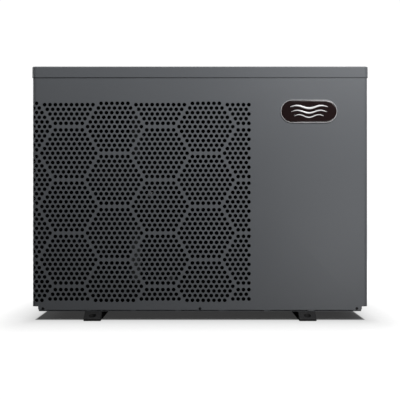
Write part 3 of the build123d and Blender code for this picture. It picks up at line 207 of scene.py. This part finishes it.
def ramp(nodes, links, factor, low, high, at=NOISE_RANGE):
    """Colour ramp from low to high; colours are linear RGB."""
    node = nodes.new("ShaderNodeValToRGB")
    for stop, position, tone in zip(node.color_ramp.elements, at, (low, high)):
        stop.position = position
        stop.color = (*tone, 1)
    links.new(factor, node.inputs["Fac"])
    return node.outputs["Color"]


def map_range(nodes, links, value, start, end, low, high):
    """Number that runs from low to high as a value goes from start to end."""
    node = nodes.new("ShaderNodeMapRange")
    node.inputs["From Min"].default_value = start
    node.inputs["From Max"].default_value = end
    node.inputs["To Min"].default_value = low
    node.inputs["To Max"].default_value = high
    links.new(value, node.inputs["Value"])
    return node.outputs["Result"]


def bump(nodes, links, height, strength, distance):
    """Normal bent by a height texture; distance is in metres."""
    node = nodes.new("ShaderNodeBump")
    node.inputs["Strength"].default_value = strength
    node.inputs["Distance"].default_value = distance
    links.new(height, node.inputs["Height"])
    return node.outputs["Normal"]


def colour_mix(nodes):
    """Mix node for colours."""
    node = nodes.new("ShaderNodeMix")
    node.data_type = "RGBA"
    return node


def shade(tone, factor):
    """Tone made lighter or darker by a factor."""
    return tuple(channel * factor for channel in tone)


def surface(name, tone, vary=0.12, patch=9.0, grain=900.0, grain_depth=0.05 * MM,
            grain_strength=0.25, rough=(0.38, 0.48), metallic=0.0, coat=0.0, specular=0.5,
            stretch=None):
    """General finish: slow colour patches, fine grain bump and uneven roughness."""
    material, nodes, links, shader = new_material(name)
    space = texture_space(nodes)
    patches = noise(nodes, links, space, patch, detail=5.0)
    fine = noise(nodes, links, space, grain, detail=3.0, roughness=0.6, stretch=stretch)
    links.new(ramp(nodes, links, patches, shade(tone, 1 - vary), shade(tone, 1 + vary)),
              shader.inputs["Base Color"])
    links.new(map_range(nodes, links, fine, *NOISE_RANGE, *rough), shader.inputs["Roughness"])
    links.new(bump(nodes, links, fine, grain_strength, grain_depth), shader.inputs["Normal"])
    shader.inputs["Metallic"].default_value = metallic
    shader.inputs["Coat Weight"].default_value = coat
    shader.inputs["Specular IOR Level"].default_value = specular
    return material


def cabinet_paint():
    """Graphite powder coat: orange-peel bump, fine metallic flecks and a little dust low down."""
    material, nodes, links, shader = new_material("cabinet_paint")
    space = texture_space(nodes)
    patches = noise(nodes, links, space, 3.5)
    fleck = nodes.new("ShaderNodeTexVoronoi")
    fleck.inputs["Scale"].default_value = 2600
    links.new(space, fleck.inputs["Vector"])
    paint = colour_mix(nodes)
    paint.inputs["Factor"].default_value = 0.5
    links.new(ramp(nodes, links, patches, shade(PAINT, 0.96), shade(PAINT, 1.04)), paint.inputs["A"])
    flecks = ramp(nodes, links, fleck.outputs["Distance"], shade(PAINT, 1.35), shade(PAINT, 0.97),
                  at=(0.0, 0.35))
    links.new(flecks, paint.inputs["B"])
    height = nodes.new("ShaderNodeSeparateXYZ")
    links.new(space, height.inputs["Vector"])
    dust = nodes.new("ShaderNodeMath")
    dust.operation = "MULTIPLY"
    links.new(map_range(nodes, links, height.outputs["Z"], *DUST_Z, 0.0, DUST_SHARE), dust.inputs[0])
    links.new(noise(nodes, links, space, 60, detail=6.0), dust.inputs[1])
    dusty = colour_mix(nodes)
    dusty.inputs["B"].default_value = (*DUST, 1)
    links.new(dust.outputs["Value"], dusty.inputs["Factor"])
    links.new(paint.outputs["Result"], dusty.inputs["A"])
    links.new(dusty.outputs["Result"], shader.inputs["Base Color"])
    peel = noise(nodes, links, space, 520, detail=2.0, roughness=0.5)
    links.new(map_range(nodes, links, peel, *NOISE_RANGE, 0.40, 0.52), shader.inputs["Roughness"])
    links.new(bump(nodes, links, peel, 0.22, 0.06 * MM), shader.inputs["Normal"])
    shader.inputs["Specular IOR Level"].default_value = 0.45
    return material


finishes = {
    "cabinet_paint": cabinet_paint(),
    # inner_black and fan_black: painted shade, near-black so the parts seen through the holes read as shade
    "inner_black": surface("inner_black", BLACK_WITH_PAINTED_SHADE, rough=(0.8, 0.95), specular=0.03),
    "fan_black": surface("fan_black", BLACK_WITH_PAINTED_SHADE, rough=(0.8, 0.95), specular=0.03),
    "black_plastic": surface("black_plastic", (0.018, 0.018, 0.019), grain=1400, rough=(0.42, 0.55)),
    "foot_plastic": surface("foot_plastic", (0.014, 0.014, 0.0145), vary=0.25, grain=700,
                            grain_depth=0.12 * MM, grain_strength=0.5, rough=(0.55, 0.75), specular=0.3),
    "rubber": surface("rubber", (0.010, 0.010, 0.010), grain=800, rough=(0.75, 0.9), specular=0.2),
    "grid_coating": surface("grid_coating", (0.020, 0.020, 0.021), grain=600, rough=(0.35, 0.5)),
    "galvanised": surface("galvanised", (0.46, 0.48, 0.49), vary=0.22, patch=75, metallic=0.9,
                          rough=(0.35, 0.5)),
    "steel": surface("steel", (0.56, 0.57, 0.58), metallic=1.0, rough=(0.25, 0.4), patch=40),
    "dark_screw": surface("dark_screw", (0.018, 0.018, 0.019), metallic=0.6, rough=(0.35, 0.5), patch=90),
    "copper": surface("copper", (0.72, 0.34, 0.20), vary=0.25, patch=30, metallic=1.0, rough=(0.25, 0.42)),
    "brass": surface("brass", (0.70, 0.50, 0.22), vary=0.15, patch=30, metallic=1.0, rough=(0.28, 0.4)),
    "fin_aluminium": surface("fin_aluminium", (0.15, 0.20, 0.27), vary=0.15, patch=12, metallic=0.7,
                             rough=(0.35, 0.5)),
    "aluminium": surface("aluminium", (0.70, 0.71, 0.72), metallic=1.0, rough=(0.3, 0.42), patch=25),
    "compressor_black": surface("compressor_black", (0.014, 0.014, 0.015), rough=(0.28, 0.4), coat=0.2),
    "pvc_grey": surface("pvc_grey", (0.075, 0.08, 0.085), grain=1100, rough=(0.35, 0.48)),
    "titanium": surface("titanium", (0.42, 0.40, 0.37), metallic=1.0, patch=35, rough=(0.3, 0.42)),
    "circuit_board": surface("circuit_board", (0.012, 0.10, 0.045), patch=60, rough=(0.25, 0.4)),
    "terminal_plastic": surface("terminal_plastic", (0.62, 0.61, 0.57), grain=1200, rough=(0.4, 0.5)),
    "screen": surface("screen", (0.006, 0.008, 0.010), grain_strength=0.02, rough=(0.06, 0.1), coat=0.6),
    "flap": surface("flap", (0.016, 0.017, 0.019), grain_strength=0.03, rough=(0.10, 0.16), coat=0.5),
    "key_plastic": surface("key_plastic", (0.33, 0.35, 0.36), grain=1500, rough=(0.4, 0.5)),
    "badge_enamel": surface("badge_enamel", (0.011, 0.0035, 0.0035), vary=0.2, grain=300,
                            grain_strength=0.04, rough=(0.18, 0.26), coat=0.5),
    # silver trim with a painted reflection: near-white, barely metallic colour stands in for the chrome's
    # bright reflection
    "badge_silver": surface("badge_silver", (0.80, 0.79, 0.80), grain=1200, metallic=0.15,
                            rough=(0.25, 0.35), stretch=(1, 1, 40)),
}

node_slot = {part["node"]: part["material_slot"] for part in frame["record"]["subparts"]}
for node, obj in frame["nodes"].items():
    obj.data.materials.clear()
    obj.data.materials.append(finishes[node_slot[node]])


# ---------------------------------------------------------------- mesh helpers
def place(obj, body, finish, *replaced):
    """Give a new piece its finish and its body, and hide the CAD nodes that it stands for."""
    obj.data.materials.append(finishes[finish])
    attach(obj, body)
    if replaced:
        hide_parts(*replaced)
    return obj


def bmesh_object(name, bm, smooth_degrees=None):
    """Object made of a bmesh, shaded smooth up to an angle between faces."""
    mesh = bpy.data.meshes.new(name)
    bmesh.ops.recalc_face_normals(bm, faces=bm.faces)
    bm.to_mesh(mesh)
    bm.free()
    obj = bpy.data.objects.new(name, mesh)
    bpy.context.scene.collection.objects.link(obj)
    if smooth_degrees:
        for polygon in mesh.polygons:
            polygon.use_smooth = True
        mesh.set_sharp_from_angle(angle=radians(smooth_degrees))
    return obj


def ring(bm, centre, across, other, radius, sides):
    """Vertices round a centre, in the plane of two unit vectors."""
    turns = (2 * pi * k / sides for k in range(sides))
    return [bm.verts.new(centre + (across * cos(turn) + other * sin(turn)) * radius) for turn in turns]


def skin(bm, rings):
    """Quads from each ring to the next; all rings have the same count."""
    count = len(rings[0])
    for near, far in zip(rings, rings[1:]):
        for k in range(count):
            bm.faces.new((near[k], near[(k + 1) % count], far[(k + 1) % count], far[k]))


# ---------------------------------------------------------------- perforated sheets
def hole_centres(u_from, u_to):
    """Hole centres (u, z) of the hexagonal cells; u runs along the unrolled outer surface."""
    centres = []
    for column in CELL_COLUMNS:
        cell_u = EVEN_COLUMN_U + column * CELL_W
        first_z = EVEN_CELL_Z - (CELL_H / 2 if column % 2 else 0)
        for step in CELL_STEPS:
            for row in range(-CELL_HALF_ROWS, CELL_HALF_ROWS + 1):
                count = 2 * CELL_HALF_ROWS + 1 - abs(row)
                for k in range(count):
                    u = cell_u + (k - (count - 1) / 2) * PITCH
                    z = first_z + step * CELL_H + row * ROW
                    if u_from <= u <= min(u_to, PERF_RIGHT) and PERF_Z[0] <= z <= PERF_Z[1]:
                        centres.append((u, z))
    return centres


def on_cabinet(u, z, depth):
    """Point of the cabinet's wrapped surface, at a depth behind it; u is measured from the front's middle."""
    side = -1 if u < 0 else 1
    s = abs(u)
    if s <= FLAT_X:
        return Vector((u, -HALF_D + depth, z))
    s -= FLAT_X
    reach = BEND_R - depth
    if s <= BEND_LENGTH:
        turn = s / BEND_R
        return Vector((side * (FLAT_X + reach * sin(turn)), -HALF_D + BEND_R - reach * cos(turn), z))
    s -= BEND_LENGTH
    if s <= SIDE_LENGTH:
        return Vector((side * (HALF_W - depth), -HALF_D + BEND_R + s, z))
    s -= SIDE_LENGTH
    if s <= BEND_LENGTH:
        turn = s / BEND_R
        return Vector((side * (FLAT_X + reach * cos(turn)), HALF_D - BEND_R + reach * sin(turn), z))
    s -= BEND_LENGTH
    return Vector((side * (FLAT_X - s), HALF_D - depth, z))


def bend_lines(u_from, u_to):
    """Places along u where a bend needs an edge, so that the flat triangles follow it."""
    starts = (FLAT_X, FLAT_X + BEND_LENGTH + SIDE_LENGTH)
    lines = [sign * (start + BEND_LENGTH * k / BEND_STEPS)
             for sign in (-1, 1) for start in starts for k in range(BEND_STEPS + 1)]
    return sorted(u for u in lines if u_from < u < u_to)


def hole_outline(u, z):
    """Polygon round a hole, its sides touching the hole's circle."""
    turns = (2 * pi * k / HOLE_SIDES for k in range(HOLE_SIDES))
    return [(u + HOLE_CORNER_R * cos(turn), z + HOLE_CORNER_R * sin(turn)) for turn in turns]


def triangulated(outline, holes):
    """Points and triangles of a flat outline with holes, with edges along the bend lines."""
    points, edges, faces = [], [], []
    for loop in [outline] + [hole_outline(u, z) for u, z in holes]:
        faces.append(list(range(len(points), len(points) + len(loop))))
        points += [Vector(p) for p in loop]
    for u in bend_lines(min(u for u, z in outline), max(u for u, z in outline)):
        edges.append((len(points), len(points) + 1))
        points += [Vector((u, PANEL_BOTTOM)), Vector((u, PANEL_TOP))]
    inside_only, merge_distance = 1, 1e-7
    made = delaunay_2d_cdt(points, edges, faces, inside_only, merge_distance)
    flat, triangles, origins = made[0], made[2], made[5]
    return flat, [triangle for triangle, origin in zip(triangles, origins) if origin == [0]]


def wrapped_sheet(name, outline, holes):
    """Sheet drawn flat as an outline with round holes, then wrapped round the cabinet."""
    flat, triangles = triangulated(outline, holes)
    bm = bmesh.new()
    outer = [bm.verts.new(on_cabinet(p.x, p.y, 0.0)) for p in flat]
    inner = [bm.verts.new(on_cabinet(p.x, p.y, SHEET)) for p in flat]
    for triangle in triangles:
        bm.faces.new([outer[k] for k in triangle])
        bm.faces.new([inner[k] for k in reversed(triangle)])
    sides = {(a, b) for triangle in triangles for a, b in zip(triangle, triangle[1:] + triangle[:1])}
    for a, b in sorted(sides):
        if (b, a) not in sides:
            bm.faces.new((outer[b], outer[a], inner[a], inner[b]))
    bmesh.ops.delete(bm, geom=[v for v in bm.verts if not v.link_faces], context="VERTS")
    return bmesh_object(name, bm, smooth_degrees=30)


def quarter_round(centre_u, centre_z, radius, start):
    """Points of a quarter circle, from an angle in degrees."""
    turns = [radians(start + 90 * k / CORNER_STEPS) for k in range(CORNER_STEPS + 1)]
    return [(centre_u + radius * cos(turn), centre_z + radius * sin(turn)) for turn in turns]


def front_sheet():
    """Front with both wrapped edges, and its narrower bottom band."""
    outline = [(SEAM_U, PANEL_BOTTOM), (-BAND_HALF_W, PANEL_BOTTOM)]
    centre_u, centre_z = BAND_HALF_W - BAND_CORNER_R, BAND_BOTTOM + BAND_CORNER_R
    outline += quarter_round(-centre_u, centre_z, BAND_CORNER_R, 180)
    outline += quarter_round(centre_u, centre_z, BAND_CORNER_R, 270)
    outline += [(BAND_HALF_W, PANEL_BOTTOM), (-SEAM_U, PANEL_BOTTOM)]
    outline += [(-SEAM_U, PANEL_TOP), (SEAM_U, PANEL_TOP)]
    return wrapped_sheet("front_sheet", outline, hole_centres(SEAM_U + HOLE_KEEP, PERF_RIGHT))


def left_sheet():
    """Left side, from the seam behind the front corner to its return across the back."""
    start = SEAM_U - SEAM_GAP
    rear_flat = -FLAT_X - 2 * BEND_LENGTH - SIDE_LENGTH
    end = rear_flat - REAR_RETURN
    outline = [(end, PANEL_BOTTOM), (start, PANEL_BOTTOM), (start, PANEL_TOP), (end, PANEL_TOP)]
    last = rear_flat + BEND_LENGTH + HOLE_KEEP
    return wrapped_sheet("left_sheet", outline, hole_centres(last, start - HOLE_KEEP))


# ---------------------------------------------------------------- rear grid and coil fins
def rod(bm, start, end, radius):
    """Straight wire with rounded ends, from start to end."""
    axis = (end - start).normalized()
    across = axis.orthogonal().normalized()
    other = axis.cross(across)
    inset = axis * radius * WIRE_TIP_LENGTH
    stations = ((start, WIRE_TIP_R), (start + inset, 1), (end - inset, 1), (end, WIRE_TIP_R))
    rings = [ring(bm, centre, across, other, radius * share, WIRE_SIDES) for centre, share in stations]
    skin(bm, rings)
    bm.faces.new(list(reversed(rings[0])))
    bm.faces.new(rings[-1])


def coil_grid():
    """Guard over the coil: level wires, and thinner upright wires welded on their outside."""
    low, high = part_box("rear_coil_guard")
    level_y = low.y + LEVEL_WIRE_R
    upright_y = high.y - UPRIGHT_WIRE_R
    bm = bmesh.new()
    for k in range(GRID_ROWS + 1):
        z = low.z + GRID_MARGIN + (high.z - low.z - 2 * GRID_MARGIN) * k / GRID_ROWS
        rod(bm, Vector((low.x, level_y, z)), Vector((high.x, level_y, z)), LEVEL_WIRE_R)
    for k in range(GRID_COLUMNS + 1):
        x = low.x + GRID_MARGIN + (high.x - low.x - 2 * GRID_MARGIN) * k / GRID_COLUMNS
        rod(bm, Vector((x, upright_y, low.z)), Vector((x, upright_y, high.z)), UPRIGHT_WIRE_R)
    return bmesh_object("coil_grid", bm, smooth_degrees=50)


def fin_places():
    """Each fin's middle and the coil's outward direction there, along the back, the bend and the left."""
    low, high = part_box("evaporator_fins")
    rear_y, left_x = high.y - COIL_DEPTH / 2, low.x + COIL_DEPTH / 2
    centre = Vector((left_x + COIL_BEND_R, rear_y - COIL_BEND_R, 0))
    places = [(Vector((high.x - k * FIN_PITCH, rear_y, 0)), Vector((0, 1, 0)))
              for k in range(int((high.x - centre.x) / FIN_PITCH))]
    steps = int(COIL_BEND_R * pi / 2 / FIN_PITCH)
    for k in range(steps):
        turn = pi / 2 * (k + 0.5) / steps
        out = Vector((-sin(turn), cos(turn), 0))
        places.append((centre + out * COIL_BEND_R, out))
    places += [(Vector((left_x, centre.y - k * FIN_PITCH, 0)), Vector((-1, 0, 0)))
               for k in range(int((centre.y - low.y) / FIN_PITCH))]
    return places


def fin_pack():
    """Thin folded fins, one by one along the coil."""
    low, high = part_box("evaporator_fins")
    bm = bmesh.new()
    for middle, out in fin_places():
        along = Vector((out.y, -out.x, 0))
        ridge = [middle + out * COIL_DEPTH * (k / FIN_FOLDS - 0.5) + along * FIN_WAVE * (k % 2 - 0.5)
                 for k in range(FIN_FOLDS + 1)]
        half = along * FIN_T / 2
        corners = [p - half for p in ridge] + [p + half for p in reversed(ridge)]
        bottom = [bm.verts.new((c.x, c.y, low.z)) for c in corners]
        top = [bm.verts.new((c.x, c.y, high.z)) for c in corners]
        last = len(corners) - 1
        for k in range(FIN_FOLDS):
            bm.faces.new((bottom[k], bottom[last - k], bottom[last - 1 - k], bottom[k + 1]))
            bm.faces.new((top[k], top[k + 1], top[last - 1 - k], top[last - k]))
        skin(bm, (bottom, top))
    return bmesh_object("fin_pack", bm)


# ---------------------------------------------------------------- badge
def stadium(width, height):
    """Outline of a full-round bar, centred, as (x, z) pairs."""
    radius = height / 2
    reach = width / 2 - radius
    turns = [pi * (k / BADGE_ARC_STEPS - 0.5) for k in range(BADGE_ARC_STEPS + 1)]
    right = [(reach + radius * cos(turn), radius * sin(turn)) for turn in turns]
    return right + [(-x, -z) for x, z in right]


def badge_loft(name, profile, capped):
    """Skin over the badge's outline, shrunk and raised along a profile, closed at both ends where capped."""
    bm = bmesh.new()
    rings = []
    for inset, stand in profile:
        outline = stadium(BADGE_W - 2 * inset * MM, BADGE_H - 2 * inset * MM)
        rings.append([bm.verts.new((BADGE_MIDDLE.x + x, -HALF_D - stand * MM, BADGE_MIDDLE.z + z))
                      for x, z in outline])
    skin(bm, rings)
    if capped:
        bm.faces.new(rings[-1])
        bm.faces.new(list(reversed(rings[0])))
    return bmesh_object(name, bm, smooth_degrees=40)


def wave_strip(bm, level, span, thick):
    """Raised wave with tapered ends, its place and sizes in metres."""
    rings = []
    for k in range(WAVE_STEPS + 1):
        share = k / WAVE_STEPS
        x = BADGE_MIDDLE.x - span / 2 + span * share
        z = BADGE_MIDDLE.z + level + WAVE_SWING * sin(share * WAVE_TURN)
        half = thick / 2 * sqrt(sin(pi * min(max(share, WAVE_TIP), 1 - WAVE_TIP)))
        rings.append([bm.verts.new((x, -HALF_D - stand * MM, z + half * side))
                      for stand, side in WAVE_SECTION])
    bm.faces.new(rings[0])
    skin(bm, rings)
    bm.faces.new(list(reversed(rings[-1])))


def badge_waves():
    """Three plain wave strips, generic decoration."""
    bm = bmesh.new()
    for level, span, thick in WAVES:
        wave_strip(bm, level * MM, span * MM, thick * MM)
    return bmesh_object("badge_waves", bm, smooth_degrees=50)


# ---------------------------------------------------------------- screws
def islands(bm):
    """Points of each separate piece of a mesh."""
    seen, found = set(), []
    for vert in bm.verts:
        if vert.index in seen:
            continue
        island, front = [], [vert]
        seen.add(vert.index)
        while front:
            one = front.pop()
            island.append(one.co.copy())
            for edge in one.link_edges:
                other = edge.other_vert(one)
                if other.index not in seen:
                    seen.add(other.index)
                    front.append(other)
        found.append(island)
    return found


def screw_places():
    """Top and outward direction of every pan-head screw, from its CAD solid's place."""
    bm = bmesh.new()
    bm.from_mesh(frame["nodes"]["cabinet_screws"].data)
    bmesh.ops.remove_doubles(bm, verts=bm.verts, dist=WELD_DISTANCE)
    places = []
    for island in islands(bm):
        low = Vector((min(p[a] for p in island) for a in range(3)))
        high = Vector((max(p[a] for p in island) for a in range(3)))
        size = high - low
        axis = max(range(3), key=lambda a: size[a])
        top = (low + high) / 2
        out = Vector((0, 0, 0))
        out[axis] = 1 if top[axis] > 0 else -1
        top[axis] = (high if out[axis] > 0 else low)[axis]
        places.append((top, out))
    bm.free()
    return places


def screw_heads():
    """Pan heads with a cross recess, standing on short shanks."""
    bm = bmesh.new()
    for tip, out in screw_places():
        across = out.orthogonal().normalized()
        other = out.cross(across)
        rings = [ring(bm, tip + out * height * MM, across, other, radius * MM, SCREW_SIDES)
                 for radius, height in SCREW_PROFILE]
        mouth = tip - out * RECESS_TOP
        cross = []
        for k in range(SCREW_SIDES):
            turn = 2 * pi * k / SCREW_SIDES
            arm = CROSS_RADII[k % len(CROSS_RADII)] * MM
            cross.append(bm.verts.new(mouth + (across * cos(turn) + other * sin(turn)) * arm))
        sunk = [bm.verts.new(v.co - out * RECESS_DEPTH + (mouth - v.co) * RECESS_TAPER) for v in cross]
        bm.faces.new(list(reversed(rings[0])))
        skin(bm, rings + [cross, sunk])
        bm.faces.new(sunk)
    return bmesh_object("screw_heads", bm, smooth_degrees=40)


place(front_sheet(), "cabinet", "cabinet_paint", "front_panel")
place(left_sheet(), "cabinet", "cabinet_paint", "left_side_panel")
place(coil_grid(), "cabinet", "grid_coating", "rear_coil_guard")
place(fin_pack(), "cabinet", "fin_aluminium", "evaporator_fins")
badge_rim = badge_loft("badge_rim_rolled", RIM_PROFILE + RIM_PROFILE[:1], capped=False)
place(badge_rim, "cabinet", "badge_silver", "badge_rim")
place(badge_loft("badge_face", FACE_PROFILE, capped=True), "cabinet", "badge_enamel", "badge_plate")
place(badge_waves(), "cabinet", "badge_silver")
place(screw_heads(), "cabinet", "dark_screw", "cabinet_screws")


# ---------------------------------------------------------------- stage, light and camera
def shadow_share(nodes, links, space):
    """How far a point lies outside the footprint, as a share of the painted shadow's reach."""
    outside = space
    for operation, operand in (("ABSOLUTE", None), ("SUBTRACT", FOOTPRINT), ("MAXIMUM", (0, 0, 0)),
                               ("MULTIPLY", SHADOW_STRETCH)):
        step = nodes.new("ShaderNodeVectorMath")
        step.operation = operation
        if operand:
            step.inputs[1].default_value = operand
        links.new(outside, step.inputs[0])
        outside = step.outputs["Vector"]
    reach = nodes.new("ShaderNodeVectorMath")
    reach.operation = "LENGTH"
    links.new(outside, reach.inputs[0])
    share = nodes.new("ShaderNodeMath")
    share.operation = "DIVIDE"
    share.inputs[1].default_value = SHADOW_REACH
    links.new(reach.outputs["Value"], share.inputs[0])
    return share.outputs["Value"]


def ground_finish():
    """Studio floor that glows pale for camera rays, with a soft contact shadow painted round the footprint by
    dimming that glow.
    """
    material, nodes, links, shader = new_material("ground")
    space = texture_space(nodes)
    shader.inputs["Roughness"].default_value = 0.9
    shader.inputs["Specular IOR Level"].default_value = 0.05
    paper = noise(nodes, links, space, 40, detail=3.0)
    links.new(ramp(nodes, links, paper, *GROUND_TONES), shader.inputs["Base Color"])
    # painted shadow: the glow that camera rays see is dimmed near the footprint
    painted_shadow_glow = nodes.new("ShaderNodeValToRGB")
    stops = painted_shadow_glow.color_ramp.elements
    for inner_stop in SHADOW_STOPS[1:-1]:
        stops.new(inner_stop[0])
    for stop, (position, level) in zip(stops, SHADOW_STOPS):
        stop.position = position
        stop.color = (level, level, level, 1)
    links.new(shadow_share(nodes, links, space), painted_shadow_glow.inputs["Fac"])
    links.new(painted_shadow_glow.outputs["Color"], shader.inputs["Emission Color"])
    seen = nodes.new("ShaderNodeLightPath")
    links.new(seen.outputs["Is Camera Ray"], shader.inputs["Emission Strength"])
    return material


def stage():
    """Flat floor under the unit."""
    bm = bmesh.new()
    corners = [(x * GROUND_HALF, y * GROUND_HALF, 0) for x, y in ((-1, -1), (1, -1), (1, 1), (-1, 1))]
    bm.faces.new([bm.verts.new(corner) for corner in corners])
    ground = bmesh_object("ground", bm)
    ground.data.materials.append(ground_finish())


def soft_light(name, spot, aim, size, power):
    """Rectangular area light that the camera doesn't see."""
    data = bpy.data.lights.new(name, "AREA")
    data.shape = "RECTANGLE"
    data.size, data.size_y = size
    data.energy = power
    obj = bpy.data.objects.new(name, data)
    obj.location = spot
    obj.visible_camera = False
    obj.rotation_euler = (Vector(aim) - Vector(spot)).to_track_quat("-Z", "Y").to_euler()
    bpy.context.scene.collection.objects.link(obj)


def world():
    """White surroundings that light the unit only a little."""
    scene_world = bpy.data.worlds.new("studio")
    bpy.context.scene.world = scene_world
    scene_world.use_nodes = True
    nodes, links = scene_world.node_tree.nodes, scene_world.node_tree.links
    background = nodes["Background"]
    background.inputs["Color"].default_value = (1, 1, 1, 1)
    seen = nodes.new("ShaderNodeLightPath")
    level = map_range(nodes, links, seen.outputs["Is Camera Ray"], 0, 1, WORLD_LIGHT, WORLD_SEEN)
    links.new(level, background.inputs["Strength"])


def camera():
    """Level camera straight in front, at about the middle of the unit's height."""
    data = bpy.data.cameras.new("camera")
    data.sensor_width = SENSOR_MM
    data.lens = SENSOR_MM * CAMERA_REACH / IMAGE_WIDTH
    data.clip_end = CAMERA_FAR
    obj = bpy.data.objects.new("camera", data)
    obj.location = (0, -HALF_D - CAMERA_REACH, EYE_HEIGHT)
    obj.rotation_euler = (pi / 2, 0, 0)
    bpy.context.scene.collection.objects.link(obj)
    bpy.context.scene.camera = obj


stage()
world()
camera()
for light in LIGHTS:
    soft_light(*light)

bpy.context.scene.view_settings.view_transform = "Standard"
